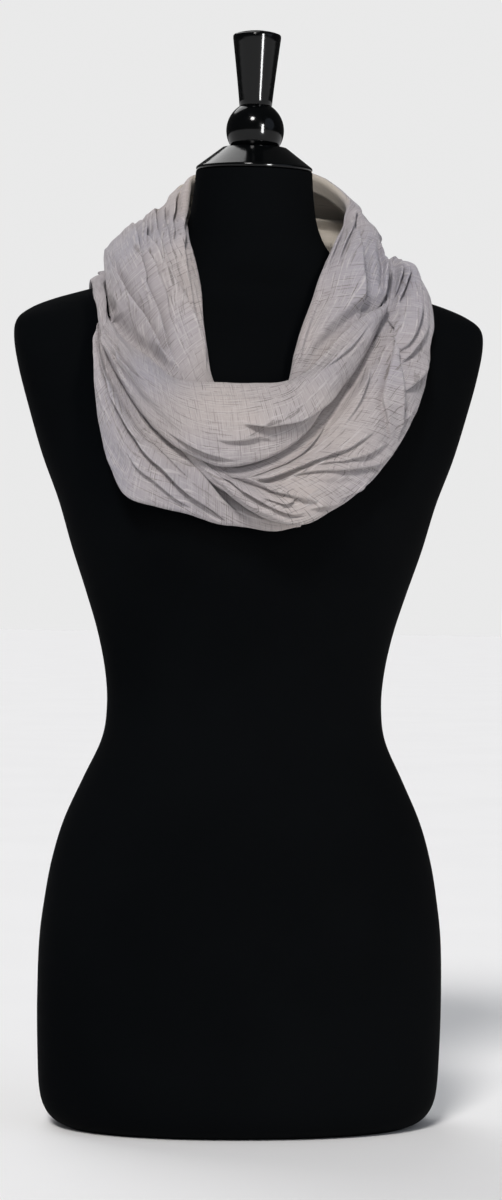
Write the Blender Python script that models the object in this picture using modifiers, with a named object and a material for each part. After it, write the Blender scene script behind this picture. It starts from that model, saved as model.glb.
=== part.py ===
# Infinity scarf wound twice round the neck of a limbless dress form.
# Metres, +Z up, -Y to the front; the origin is at the centre of the form's flat underside.

import math
from collections import namedtuple

import bmesh
import bpy
import numpy as np
from mathutils import Vector
from mathutils.bvhtree import BVHTree

MM = 0.001

# Driving sizes, in millimetres.
CLOTH_WALL = 1.6
LIP_RADIUS = 4.2
TAIL_LENGTH = 13.0
TUCK = 1.0
NODE_GAP = 0.3
SEAM_GAP = 1.0
RESTING_GAP = 0.5
SMALLEST_LAP_WIDTH = 7.5
LAP_SLANT = 0.35

FORM_SIDES = 40

PLATE_RADIUS = 51.0
PLATE_RIM = 4.5
PLATE_HEIGHT = 21.0
PLATE_TOP_RADIUS = 28.5
BALL_RADIUS = 25.3
BALL_RISE = 14.5
FINIAL_FOOT_RADIUS = 14.3
FINIAL_TOP_RADIUS = 21.0
FINIAL_HEIGHT = 66.0
FINIAL_DOME = 3.5
NECK_LEAN = 3.0
NECK_LEAN_FOOT = 755
TURNING_STEPS = 28

COLOURS = {
    "cloth": ((0.56, 0.53, 0.55), 0.9, 0.0),
    "jersey": ((0.006, 0.007, 0.008), 0.85, 0.0),
    "lacquer": ((0.008, 0.009, 0.011), 0.12, 0.0),
}

# The form, one row for each level: height, half width, depth in front of and behind the centre
# line, how far the centre line has moved forwards, and how square the section is.
Level = namedtuple("Level", "height half_width front back forward squareness")
FORM_LEVELS = (
    Level(0, 152, 86, 92, 0, 2.2),
    Level(5, 162, 96, 102, 0, 2.2),
    Level(14, 170, 104, 110, 0, 2.2),
    Level(30, 175, 109, 116, 0, 2.2),
    Level(62, 177, 112, 121, 0, 2.2),
    Level(108, 178, 113, 124, 0, 2.2),
    Level(160, 177, 111, 122, 0, 2.2),
    Level(196, 173, 108, 117, 0, 2.2),
    Level(231, 167, 104, 110, 0, 2.15),
    Level(266, 157, 100, 102, 0, 2.1),
    Level(302, 141, 94, 92, 0, 2.1),
    Level(337, 125, 88, 82, 0, 2.1),
    Level(366, 121, 85, 77, 0, 2.1),
    Level(396, 123, 86, 78, 0, 2.1),
    Level(430, 130, 91, 82, 0, 2.1),
    Level(466, 141, 98, 87, 0, 2.15),
    Level(505, 154, 105, 93, 0, 2.2),
    Level(545, 166, 105, 98, 0, 2.25),
    Level(585, 181, 100, 102, 0, 2.3),
    Level(625, 193, 91, 105, 0, 2.4),
    Level(660, 202.5, 79, 105, 0, 2.5),
    Level(686, 207, 69, 101, 0, 2.6),
    Level(702, 205, 61, 95, 0, 2.6),
    Level(712, 193, 55, 89, 0, 2.5),
    Level(720, 174, 51, 83, 0, 2.4),
    Level(727, 151, 48, 78, 0, 2.3),
    Level(734, 127, 47, 74, 0, 2.2),
    Level(743, 101, 47, 70, 1, 2.1),
    Level(755, 80, 48, 65, 2, 2.05),
    Level(772, 65, 49, 60, 3, 2.0),
    Level(790, 57, 50, 56, 5, 2.0),
    Level(812, 53, 50.5, 53, 8, 2.0),
    Level(835, 51, 50.5, 51, 11, 2.0),
)
BUST_SIDE = 76
BUST_HEIGHT = 528
BUST_DEPTH = 17
BUST_REACH = 44

# A stretch of cloth, one row for each section: its upper and lower edges, how far its middle
# stands proud of the straight line between them, and how far each edge rolls over, from 0 for
# an edge that runs on flat under its neighbour to 1 for a full roll.
Section = namedtuple("Section", "top_x top_y top_z low_x low_y low_z crown top_roll low_roll")
OUTER_SECTIONS = (
    Section(114, -52, 722, 115, -57, 714, 2, 1, 1),
    Section(99, -65, 713, 101, -75, 694, 4, 1, 1),
    Section(83, -75, 704, 94, -84, 678, 6, 1, 1),
    Section(58, -90, 682, 75, -104, 648, 9, 1, 1),
    Section(33, -106, 656, 51, -124, 620, 11, 1, 1),
    Section(13, -114, 646, 26, -138, 591, 12, 1, 1),
    Section(-14, -119, 644, -6, -146, 574, 13, 1, 1),
    Section(-45, -118, 644, -37, -148, 568, 14, 1, 1),
    Section(-76, -108, 647, -62, -144, 576, 14, 1, 1),
    Section(-96, -92, 664, -84, -134, 590, 12, 1, 1),
    Section(-113, -80, 677, -104, -115, 613, 9, 1, 1),
    Section(-124, -74, 689, -121, -98, 641, 8, 1, 1),
    Section(-131, -67, 703, -134, -84, 669, 6, 1, 1),
    Section(-131, -36, 733, -141, -60, 711, 4, 0.8, 1),
    Section(-115, 8, 746, -142, 3, 736, 4, 0.3, 1),
    Section(-110, 40, 742, -139, 42, 727, 6, 0.3, 1),
    Section(-93, 72, 766, -114, 90, 722, 8, 0.8, 1),
    Section(0, 94, 786, 0, 122, 725, 11, 1, 1),
    Section(74, 76, 782, 94, 100, 727, 10, 1, 1),
    Section(104, 46, 774, 132, 58, 733, 10, 1, 1),
    Section(113, 8, 752, 150, 8, 742, 13, 0, 1),
    Section(119, -16, 742, 155, -43, 721, 12, 0, 1),
    Section(113, -49, 721, 155, -59, 698, 9, 0, 1),
    Section(105, -69, 695, 151, -69, 680, 11, 0, 1),
    Section(87, -82, 673, 148, -79, 659, 12, 0, 1),
    Section(66, -104, 646, 139, -92, 632, 15, 0, 1),
    Section(46, -116, 621, 125, -106, 605, 16, 0, 1),
    Section(23, -122, 600, 108, -120, 580, 16, 0, 1),
    Section(-2, -126, 586, 84, -133, 554, 15, 0, 1),
    Section(-24, -128, 578, 57, -143, 535, 14, 0, 1),
    Section(-42, -130, 576, 25, -150, 522, 12, 0, 1),
    Section(-56, -131, 582, -20, -154, 538, 9, 0, 1),
    Section(-74, -127, 598, -60, -147, 578, 6, 0, 1),
)
LOWER_SECTIONS = (
    Section(21, -122, 528, 31, -130, 522, 3, 0, 1),
    Section(0, -124, 536, 8, -130, 516, 5, 0, 1),
    Section(-22, -123, 547, -17, -131, 519, 5, 0, 1),
    Section(-43, -119, 565, -40, -132, 521, 6, 0, 1),
    Section(-63, -115, 585, -65, -134, 528, 10, 0, 1),
    Section(-83, -109, 601, -93, -133, 534, 14, 0, 1),
    Section(-96, -100, 617, -118, -124, 543, 14, 0, 1),
    Section(-105, -94, 631, -131, -109, 568, 13, 0, 1),
    Section(-114, -87, 645, -141, -95, 604, 12, 0, 1),
    Section(-122, -79, 662, -145, -86, 637, 10, 0, 1),
    Section(-126, -71, 678, -145, -77, 665, 5, 0, 1),
    Section(-131, -64, 693, -143, -69, 683, 3, 0, 1),
    Section(-131, -58, 703, -139, -61, 698, 2, 0, 1),
)
INNER_SECTIONS = (
    Section(-28, -98, 628, -45, -110, 594, 5, 1, 0),
    Section(-42, -96, 647, -67, -106, 611, 6, 1, 0),
    Section(-45, -84, 677, -86, -94, 638, 9, 1, 0),
    Section(-47, -72, 701, -104, -82, 661, 11, 1, 0),
    Section(-48, -56, 729, -117, -73, 681, 12, 1, 0),
    Section(-52, -50, 751, -131, -66, 702, 14, 1, 0.7),
    Section(-56, -42, 769, -133, -51, 726, 13, 1, 1),
    Section(-56, -14, 788, -131, 6, 758, 11, 1, 1),
    Section(-56, 2, 802, -123, 28, 767, 8, 1, 0.5),
    Section(-54, 18, 819, -102, 48, 770, 5, 1, 0),
    Section(-48, 36, 836, -80, 70, 772, 2, 1, 0),
    Section(-28, 56, 842, -44, 90, 773, 5, 1, 0),
    Section(4, 62, 846, 4, 97, 774, 7, 1, 0),
    Section(38, 60, 850, 54, 92, 774, 8, 1, 0),
    Section(66, 46, 842, 86, 76, 774, 8, 1, 0),
    Section(87, 24, 821, 104, 50, 774, 8, 1, 0),
    Section(82, 6, 801, 112, 26, 778, 9, 1, 0.5),
    Section(76, -12, 785, 121, 4, 770, 11, 1, 1),
    Section(64, -31, 766, 120, -14, 757, 12, 1, 1),
    Section(51, -51, 741, 115, -41, 736, 10, 1, 1),
    Section(43, -62, 717, 110, -58, 719, 9, 1, 0.8),
    Section(33, -76, 692, 87, -70, 697, 8, 1, 0),
    Section(24, -88, 666, 67, -84, 668, 7, 1, 0),
    Section(19, -95, 644, 42, -97, 642, 6, 1, 0),
    Section(9, -99, 627, 17, -106, 616, 5, 1, 0),
)

# A fold, one row for each: lap is 1 where the cloth above the line laps over the cloth below it,
# -1 the other way round and 0 for a soft trough; knots are (section number, place across, depth).
Fold = namedtuple("Fold", "name lap width knots")
OUTER_FOLDS = (
    Fold("left_tuck", 1, 4, ((9.4, 0.38, 0), (10.2, 0.40, 4), (11.2, 0.36, 5), (12.4, 0.55, 3), (14, 0.5, 0))),
    Fold("sag_pocket", 1, 5, ((3.4, 0.98, 0), (4, 0.88, 4), (5, 0.66, 6), (5.6, 0.57, 5), (6.5, 0.48, 0))),
    Fold("front_roll", 1, 5, ((6.2, 0.93, 0), (7, 0.90, 2), (8, 0.86, 4), (9, 0.82, 4), (10.4, 0.9, 0))),
    Fold("nape_pleat_high", 1, 5, ((13, 0.3, 0), (14.5, 0.26, 5), (17, 0.3, 6), (19, 0.24, 5), (20.6, 0.1, 0))),
    Fold("nape_pleat_middle", 1, 5, ((13, 0.6, 0), (14.5, 0.52, 5), (16.5, 0.55, 6), (19, 0.5, 6), (21.4, 0.4, 0))),
    Fold("nape_pleat_low", 1, 5, ((14, 0.8, 0), (15.5, 0.78, 5), (17.5, 0.76, 5), (19, 0.74, 5), (21, 0.7, 5),
                                  (22.6, 0.76, 5), (23.6, 0.6, 4), (24.2, 0.52, 0))),
    Fold("side_fall", 1, 5, ((21.8, 0.06, 0), (23, 0.35, 6), (24, 0.51, 7), (25, 0.54, 6), (26, 0.7, 3), (27, 0.9, 0))),
    Fold("side_shadow", 1, 4, ((23.4, 0.96, 0), (24, 0.82, 4), (24.6, 0.78, 4), (25.4, 0.76, 0))),
    Fold("rib", 1, 4, ((24.6, 0.05, 0), (26, 0.15, 4), (27, 0.18, 5), (28, 0.18, 5), (29.4, 0.17, 0))),
    Fold("deep_gap", 1, 4, ((25.8, 0.46, 0), (26.6, 0.41, 4), (27.4, 0.37, 6), (28.2, 0.3, 6), (29.6, 0.27, 0))),
    Fold("fan_upper", 1, 4, ((26.9, 0.96, 0), (27.3, 0.8, 4), (27.8, 0.6, 4), (28.4, 0.46, 3), (29, 0.4, 0))),
    Fold("fan_middle", -1, 5, ((28.5, 0.95, 0), (29, 0.68, 5), (29.6, 0.42, 5), (30.2, 0.27, 5), (31.4, 0.12, 0))),
    Fold("fan_lower", -1, 4, ((29.2, 0.86, 0), (29.8, 0.74, 4), (30.5, 0.56, 5), (31.2, 0.4, 4), (32, 0.3, 0))),
)
LOWER_FOLDS = (
    Fold("long_crease", -1, 5, ((2.4, 0.98, 0), (3, 0.88, 4), (4, 0.76, 6), (5, 0.6, 7), (6, 0.47, 7), (7, 0.46, 6),
                                (8, 0.47, 6), (9.4, 0.38, 3), (10.4, 0.3, 0))),
    Fold("short_crease", -1, 5, ((4, 0.64, 0), (4.5, 0.46, 3), (5, 0.28, 4), (6, 0.16, 0))),
    Fold("hem_crease", 1, 5, ((3.8, 0.98, 0), (4.5, 0.88, 4), (5.2, 0.74, 4), (6.2, 0.74, 0))),
)
INNER_FOLDS = (
    Fold("neck_strand", -1, 4, ((1, 0.04, 0), (2, 0.09, 4), (3, 0.14, 5), (4, 0.16, 5), (6, 0.11, 4), (8.4, 0.12, 0))),
    Fold("left_inner_pleat", -1, 5, ((1.6, 0.2, 0), (3, 0.22, 4), (5, 0.27, 5), (6, 0.33, 5), (7.5, 0.42, 5), (9.4, 0.4, 0))),
    Fold("left_middle_pleat", -1, 5, ((2, 0.54, 0), (3, 0.56, 4), (5, 0.54, 4), (7, 0.6, 4), (9, 0.62, 0))),
    Fold("left_outer_pleat", -1, 5, ((2.2, 0.68, 0), (3.2, 0.68, 4), (4.2, 0.72, 6), (5, 0.76, 6), (6, 0.88, 5), (7.4, 0.94, 0))),
    Fold("nape_pleat_upper", 1, 5, ((8.6, 0.22, 0), (10, 0.26, 4), (12, 0.28, 5), (14, 0.24, 4), (15.6, 0.2, 0))),
    Fold("nape_pleat_lower", 1, 5, ((8.6, 0.6, 0), (10, 0.6, 5), (12, 0.58, 5), (14, 0.6, 5), (15.8, 0.56, 0))),
    Fold("right_inner_pleat", 1, 5, ((15, 0.3, 0), (16, 0.36, 4), (17, 0.42, 5), (18, 0.4, 4), (19.4, 0.36, 0))),
    Fold("right_trough", 1, 6, ((15.6, 0.62, 0), (17, 0.68, 6), (18.5, 0.7, 8), (20, 0.7, 8), (21, 0.66, 5), (22.4, 0.5, 0))),
)

# Each node of cloth: the stretch that it is cut from, its first and last section, how many
# stations it has along, and what it lies under, each with the sections where it does.
Cover = namedtuple("Cover", "name first last")
Stretch = namedtuple("Stretch", "name sections folds first last stations covers")
STRETCHES = (
    Stretch("collar_left", INNER_SECTIONS, INNER_FOLDS, 0, 9, 20,
            (Cover("front_upper", -2, 5.2), Cover("outer_nape", 8.4, 99))),
    Stretch("collar_nape", INNER_SECTIONS, INNER_FOLDS, 9, 15, 16, (Cover("outer_nape", -2, 99),)),
    Stretch("collar_right", INNER_SECTIONS, INNER_FOLDS, 15, 24, 20,
            (Cover("outer_nape", -2, 16.4), Cover("front_upper", 20.2, 99))),
    Stretch("front_upper", OUTER_SECTIONS, OUTER_FOLDS, 0.3, 15.3, 29, (Cover("collar_left", 14, 14.6),)),
    Stretch("outer_nape", OUTER_SECTIONS, OUTER_FOLDS, 15.3, 20, 17, (Cover("collar_right", 20, 99),)),
    Stretch("lower_right", OUTER_SECTIONS, OUTER_FOLDS, 20, 32, 26,
            (Cover("collar_right", -2, 22), Cover("front_upper", 22, 99))),
    Stretch("lower_left", LOWER_SECTIONS, LOWER_FOLDS, 0, 12, 24,
            (Cover("front_upper", -2, 99), Cover("lower_right", -2, 6))),
)
ACROSS_CELLS = 12
LIP_CELLS = 3
COVER_REACH = 12.0
COVER_MARGIN = 3.0
END_CELL = 3.0


def clear_scene():
    for thing in list(bpy.data.objects):
        bpy.data.objects.remove(thing)


def collection_of_parts():
    parts = bpy.data.collections.new("infinity_scarf_on_dress_form")
    bpy.context.scene.collection.children.link(parts)
    return parts


def material_of(name):
    colour, roughness, metallic = COLOURS[name]
    material = bpy.data.materials.get(name) or bpy.data.materials.new(name)
    material.use_nodes = True
    shader = material.node_tree.nodes["Principled BSDF"]
    shader.inputs["Base Color"].default_value = (*colour, 1.0)
    shader.inputs["Roughness"].default_value = roughness
    shader.inputs["Metallic"].default_value = metallic
    return material


def smooth_through(rows, at):
    """The rows' numbers at a place between them, on a Catmull-Rom curve through the rows."""
    rows = np.asarray(rows, float)
    at = min(max(at, 0.0), len(rows) - 1.0)
    first = min(int(at), len(rows) - 2)
    t = at - first
    before = rows[first - 1] if first > 0 else 2 * rows[first] - rows[first + 1]
    after = rows[first + 2] if first + 2 < len(rows) else 2 * rows[first + 1] - rows[first]
    a, b = rows[first], rows[first + 1]
    return (
        a
        + 0.5 * t * (b - before)
        + t * t * (before - 2.5 * a + 2 * b - 0.5 * after)
        + t**3 * (-0.5 * before + 1.5 * a - 1.5 * b + 0.5 * after)
    )


# The dress form.


def level_at(height):
    """The form's level at a height in millimetres, read between the rows of its table."""
    heights = [level.height for level in FORM_LEVELS]
    return [np.interp(height, heights, [level[i] for level in FORM_LEVELS]) for i in range(1, 6)]


def form_radius(bearing, height):
    """Distance from the form's centre line to its surface, at a bearing of 0 for +X, in mm."""
    half_width, front, back, forward, squareness = level_at(height)
    depth = back if math.sin(bearing) > 0 else front
    across, along = abs(math.cos(bearing)) / half_width, abs(math.sin(bearing)) / depth
    radius = (across**squareness + along**squareness) ** (-1 / squareness)
    if math.sin(bearing) < 0:
        side = abs(radius * math.cos(bearing)) - BUST_SIDE
        rise = height - BUST_HEIGHT
        radius += BUST_DEPTH * math.exp(-(side**2 + rise**2) / BUST_REACH**2)
    return radius


def outside_form(point):
    """How far a point is outside the form, measured level, in mm; negative inside."""
    x, y, z = point
    forward = level_at(z)[3]
    return math.hypot(x, y + forward) - form_radius(math.atan2(y + forward, x), z)


def clear_of_form(point, clearance):
    """The point, moved out along the form's slope where it is nearer to the form than that."""
    point = np.array(point, float)
    step = 0.5
    for _ in range(3):
        gap = outside_form(point)
        if gap > 3 * clearance + 20:
            return point
        slope = np.array([(outside_form(point + step * axis) - gap) / step for axis in np.eye(3)])
        size = max(np.linalg.norm(slope), 0.5)
        if gap / size >= clearance:
            return point
        point += slope / size * (clearance - gap / size)
    return point


def neck_slope(height):
    """How much a level rises towards the back: the neck's top leans forwards."""
    share = (height - NECK_LEAN_FOOT) / (FORM_LEVELS[-1].height - NECK_LEAN_FOOT)
    return math.tan(math.radians(NECK_LEAN)) * min(max(share, 0.0), 1.0)


def build_form(parts):
    """The torso and neck: a ring of points at each level, bridged, with flat ends."""
    mesh = bmesh.new()
    loops = []
    for level in FORM_LEVELS:
        ring = bmesh.ops.create_circle(mesh, cap_ends=False, segments=FORM_SIDES, radius=1.0)["verts"]
        for vert in ring:
            bearing = math.atan2(vert.co.y, vert.co.x)
            radius = form_radius(bearing, level.height)
            along = radius * math.sin(bearing)
            vert.co = (
                radius * math.cos(bearing) * MM,
                (along - level.forward) * MM,
                (level.height + along * neck_slope(level.height)) * MM,
            )
        loops.append({edge for vert in ring for edge in vert.link_edges})
    for low, high in zip(loops, loops[1:]):
        bmesh.ops.bridge_loops(mesh, edges=list(low | high))
    for end in (loops[0], loops[-1]):
        bmesh.ops.contextual_create(mesh, geom=list(end))
    bmesh.ops.recalc_face_normals(mesh, faces=mesh.faces)
    data = bpy.data.meshes.new("dress_form")
    mesh.to_mesh(data)
    mesh.free()
    data.shade_smooth()
    form = bpy.data.objects.new("dress_form", data)
    form.data.materials.append(material_of("jersey"))
    parts.objects.link(form)
    return form


# The turned neck cap: a plate with a ball and a flared finial.


def turned(name, profile, parts, carrier):
    """A solid turned about its own Z from a profile of (radius, height) points, top first."""
    data = bpy.data.meshes.new(name)
    points = [(radius * MM, 0.0, height * MM) for radius, height in profile]
    data.from_pydata(points, [(i, i + 1) for i in range(len(points) - 1)], [])
    thing = bpy.data.objects.new(name, data)
    thing.data.materials.append(material_of("lacquer"))
    screw = thing.modifiers.new("turning", "SCREW")
    screw.steps = TURNING_STEPS
    screw.render_steps = TURNING_STEPS
    screw.use_merge_vertices = True
    screw.merge_threshold = 0.00005
    screw.use_smooth_shade = True
    parts.objects.link(thing)
    thing.parent = carrier
    return thing


def arc(centre_height, radius, first, last, steps):
    """(radius, height) points on a circle about the axis, between two angles above level."""
    angles = [math.radians(first + (last - first) * i / steps) for i in range(steps + 1)]
    return [(radius * math.cos(a), centre_height + radius * math.sin(a)) for a in angles]


def build_cap(parts):
    """The plate on the neck and the finial that stands on it, both leaning with the neck."""
    top = FORM_LEVELS[-1]
    carrier = bpy.data.objects.new("cap_axis", None)
    parts.objects.link(carrier)
    carrier.location = (0, -top.forward * MM, (top.height + NODE_GAP) * MM)
    carrier.rotation_euler = (math.radians(NECK_LEAN), 0, 0)
    plate = [
        (0, PLATE_HEIGHT),
        (PLATE_TOP_RADIUS - 1, PLATE_HEIGHT),
        (PLATE_TOP_RADIUS, PLATE_HEIGHT - 0.8),
        (PLATE_RADIUS - 1.2, PLATE_RIM + 0.8),
        (PLATE_RADIUS, PLATE_RIM - 0.8),
        (PLATE_RADIUS, 1.0),
        (PLATE_RADIUS - 1, 0),
        (0, 0),
    ]
    turned("neck_plate", plate, parts, carrier)
    seat = PLATE_HEIGHT + NODE_GAP
    ball_centre = seat + BALL_RISE
    foot_angle = math.degrees(math.acos(FINIAL_FOOT_RADIUS / BALL_RADIUS))
    seat_angle = -math.degrees(math.asin(BALL_RISE / BALL_RADIUS))
    foot = ball_centre + BALL_RADIUS * math.sin(math.radians(foot_angle))
    crown = foot + FINIAL_HEIGHT
    finial = [
        (0, crown),
        (FINIAL_TOP_RADIUS * 0.6, crown - FINIAL_DOME * 0.3),
        (FINIAL_TOP_RADIUS - 1.5, crown - FINIAL_DOME),
        (FINIAL_TOP_RADIUS, crown - FINIAL_DOME - 2.5),
        (FINIAL_TOP_RADIUS - 0.6, crown - FINIAL_DOME - 7),
    ]
    finial += arc(ball_centre, BALL_RADIUS, foot_angle, seat_angle, 8)
    finial += [(0, seat)]
    turned("finial", finial, parts, carrier)


# The scarf.


def fold_line(fold, at):
    """(place across, depth) of a fold at a section number; the depth is 0 past its ends."""
    numbers = [knot[0] for knot in fold.knots]
    if not numbers[0] < at < numbers[-1]:
        return 0.5, 0.0
    nearest = np.interp(at, numbers, range(len(numbers)))
    place, depth = smooth_through([knot[1:] for knot in fold.knots], nearest)
    return place, max(depth, 0.0)


def fold_shift(folds, at, across, span):
    """How far the folds move a point (down the section, outwards), in mm."""
    down, out = 0.0, 0.0
    for fold in folds:
        place, depth = fold_line(fold, at)
        if depth <= 0:
            continue
        x = (across - place) * span / max(fold.width, SMALLEST_LAP_WIDTH)
        if fold.lap:
            swing = -x * math.exp(0.5 - 0.5 * x * x) * depth * 0.5
            out += fold.lap * swing
            down += LAP_SLANT * swing
        else:
            out -= depth * math.exp(-0.5 * x * x)
    edge = min(across, 1 - across)
    fade = min(max(edge / 0.07, 0.0), 1.0)
    fade = fade * fade * (3 - 2 * fade)
    return down * fade, out * fade


def section_frame(sections, at):
    """A section's upper edge, its directions down and outwards, its length and its row."""
    row = smooth_through(sections, at)
    ahead = smooth_through(sections, at + 0.05)
    behind = smooth_through(sections, at - 0.05)
    top, low = row[0:3], row[3:6]
    travel = (ahead[0:3] + ahead[3:6]) - (behind[0:3] + behind[3:6])
    length = np.linalg.norm(low - top)
    down = (low - top) / length
    out = np.cross(travel, down)
    return top, down, out / np.linalg.norm(out), length, row


def edge_size(length):
    """The radius of a section's rolled edges and the length of cloth behind them."""
    return min(LIP_RADIUS, max(0.1 * length, 2.4)), min(TAIL_LENGTH, 0.3 * length)


def rolled_edge(roll, slope, radius, tail):
    """Steps (away from the face, inwards) of an edge: an arc that turns over, then its tail."""
    start = math.atan(slope)
    turn = math.pi * roll - start
    arc_length = max(radius * (math.pi - start), 0.0) * (0.15 + 0.85 * roll)
    steps, place = [], np.zeros(2)
    for i in range(LIP_CELLS):
        heading = start + turn * (i + 0.5) / LIP_CELLS
        place = place + arc_length / LIP_CELLS * np.array([math.cos(heading), math.sin(heading)])
        steps.append(place)
    heading = start + turn
    steps.append(place + tail * (0.15 + 0.85 * roll) * np.array([math.cos(heading), math.sin(heading)]))
    return steps


def section_profile(stretch, at, length, row):
    """A section as (down, out, face point that it moves with, roll), from tail to tail."""
    crown, top_roll, low_roll = row[6], min(max(row[7], 0), 1), min(max(row[8], 0), 1)
    lip, tail = edge_size(length)
    start, end = lip * top_roll, length - lip * low_roll
    span = end - start
    sunk_top, sunk_low = (TUCK + lip) * (1 - top_roll), (TUCK + lip) * (1 - low_roll)
    face = []
    for step in range(ACROSS_CELLS + 1):
        across = step / ACROSS_CELLS
        shift_down, shift_out = fold_shift(stretch.folds, at, across, span)
        rise = crown * (1 - (2 * across - 1) ** 2)
        rise -= sunk_top * (1 - across) ** 2 + sunk_low * across**2
        face.append((start + across * span + shift_down, lip + rise + shift_out))

    def partner(down):
        return round(min(max((down - start) / span, 0), 1) * ACROSS_CELLS)

    upper, lower = [], []
    for away, inwards in rolled_edge(top_roll, (4 * crown + 2 * sunk_top) / span, lip, tail):
        down = face[0][0] - away
        upper.append((down, face[0][1] - inwards, partner(down), top_roll))
    for away, inwards in rolled_edge(low_roll, (4 * crown + 2 * sunk_low) / span, lip, tail):
        down = face[-1][0] + away
        lower.append((down, face[-1][1] - inwards, partner(down), low_roll))
    middle = [(down, out, j, 1.0) for j, (down, out) in enumerate(face)]
    return upper[::-1] + middle + lower


def floor_of(stretch):
    """The surface under a stretch that whatever it covers has to stay below."""
    first, last, across = stretch.first, stretch.last, 6
    along = 4 * math.ceil(last - first)
    points, faces = [], []
    for i in range(along + 1):
        top, down, out, length, row = section_frame(stretch.sections, first + (last - first) * i / along)
        lip, _ = edge_size(length)
        for j in range(across + 1):
            points.append(top + down * (length * j / across) - out * (lip + CLOTH_WALL + NODE_GAP))
    for i in range(along):
        for j in range(across):
            corner = i * (across + 1) + j
            faces.append((corner, corner + across + 1, corner + across + 2, corner + 1))
    return BVHTree.FromPolygons([tuple(point) for point in points], faces)


def cover_push(point, at, covers, floors):
    """The move that takes a point of the cloth below the stretches that cover it."""
    move = np.zeros(3)
    for cover in covers:
        held = min(max(min(at - cover.first, cover.last - at) + 1, 0.0), 1.0)
        if held == 0:
            continue
        floor = floors[cover.name]
        place = point + move
        nearest, normal, _, _ = floor.find_nearest(Vector(place), 45.0)
        if nearest is None:
            continue
        normal = np.array(normal)
        delta = place - np.array(nearest)
        height = delta @ normal
        beside = np.linalg.norm(delta - height * normal)
        near = min(max((COVER_REACH - beside) / (COVER_REACH - COVER_MARGIN), 0.0), 1.0)
        near = near * near * (3 - 2 * near)
        if height > 0:
            move -= normal * height * near * held
    return move


def section_points(stretch, at, floors):
    """One section of the cloth, from the tail behind its upper lip to the tail behind its lower."""
    top, down, out, length, row = section_frame(stretch.sections, at)
    profile = section_profile(stretch, at, length, row)
    places = [top + down * a + out * h for a, h, _, _ in profile]
    first_face = LIP_CELLS + 1
    moves = [cover_push(place, at, stretch.covers, floors) for place in places]
    points = []
    for i, (_, _, partner, roll) in enumerate(profile):
        move = roll * moves[first_face + partner] + (1 - roll) * moves[i]
        turned_over = roll if i < 2 or i >= len(profile) - 2 else 0
        clearance = RESTING_GAP + CLOTH_WALL * (1 - turned_over)
        points.append(clear_of_form(places[i] + move, clearance))
    return points


def seam_step(stretch, at):
    """The part of a section number that moves a section's nearer edge by half a seam's gap."""
    ahead = smooth_through(stretch.sections, at + 0.05)
    behind = smooth_through(stretch.sections, at - 0.05)
    nearer = min(np.linalg.norm(ahead[i : i + 3] - behind[i : i + 3]) for i in (0, 3))
    return SEAM_GAP / 2 * 0.1 / nearer


def stations_of(stretch, first, last):
    """Section numbers at even distances along the stretch, with a short cell at each end."""
    samples = np.linspace(first, last, 8 * math.ceil(last - first) + 1)
    middles = [smooth_through(stretch.sections, at)[0:6].reshape(2, 3).mean(0) for at in samples]
    steps = [np.linalg.norm(b - a) for a, b in zip(middles, middles[1:])]
    travelled = np.concatenate([[0.0], np.cumsum(steps)])
    inner = np.linspace(END_CELL, travelled[-1] - END_CELL, stretch.stations)
    return np.interp([0.0, *inner, travelled[-1]], travelled, samples)


def build_stretch(stretch, floors, parts):
    """A stretch of the scarf: a grid laid along its sections, with the cloth's thickness inside."""
    first, last = stretch.first, stretch.last
    if first > 0:
        first += seam_step(stretch, first)
    if last < len(stretch.sections) - 1:
        last -= seam_step(stretch, last)
    rows = [section_points(stretch, at, floors) for at in stations_of(stretch, first, last)]
    mesh = bmesh.new()
    cells_along = len(rows) - 1
    cells_across = len(rows[0]) - 1
    bmesh.ops.create_grid(mesh, x_segments=cells_along, y_segments=cells_across, size=1.0)
    for vert in mesh.verts:
        i = round((vert.co.x + 1) / 2 * cells_along)
        j = round((vert.co.y + 1) / 2 * cells_across)
        vert.co = rows[i][j] * MM
    data = bpy.data.meshes.new(stretch.name)
    mesh.to_mesh(data)
    mesh.free()
    data.shade_smooth()
    cloth = bpy.data.objects.new(stretch.name, data)
    cloth.data.materials.append(material_of("cloth"))
    wall = cloth.modifiers.new("cloth_wall", "SOLIDIFY")
    wall.thickness = CLOTH_WALL * MM
    wall.offset = -1.0
    parts.objects.link(cloth)
    return cloth


def main():
    clear_scene()
    parts = collection_of_parts()
    build_form(parts)
    build_cap(parts)
    floors = {stretch.name: floor_of(stretch) for stretch in STRETCHES}
    for stretch in STRETCHES:
        build_stretch(stretch, floors, parts)


main()
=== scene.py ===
# Infinity scarf wound twice round the neck of a limbless dress form with a turned cap.
# The model is in metres, +Z up, -Y to the front; the tables are in millimetres.

import math
from collections import namedtuple

import bmesh
import bpy
import numpy as np
from mathutils import Matrix, Vector, noise
from mathutils.bvhtree import BVHTree


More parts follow.
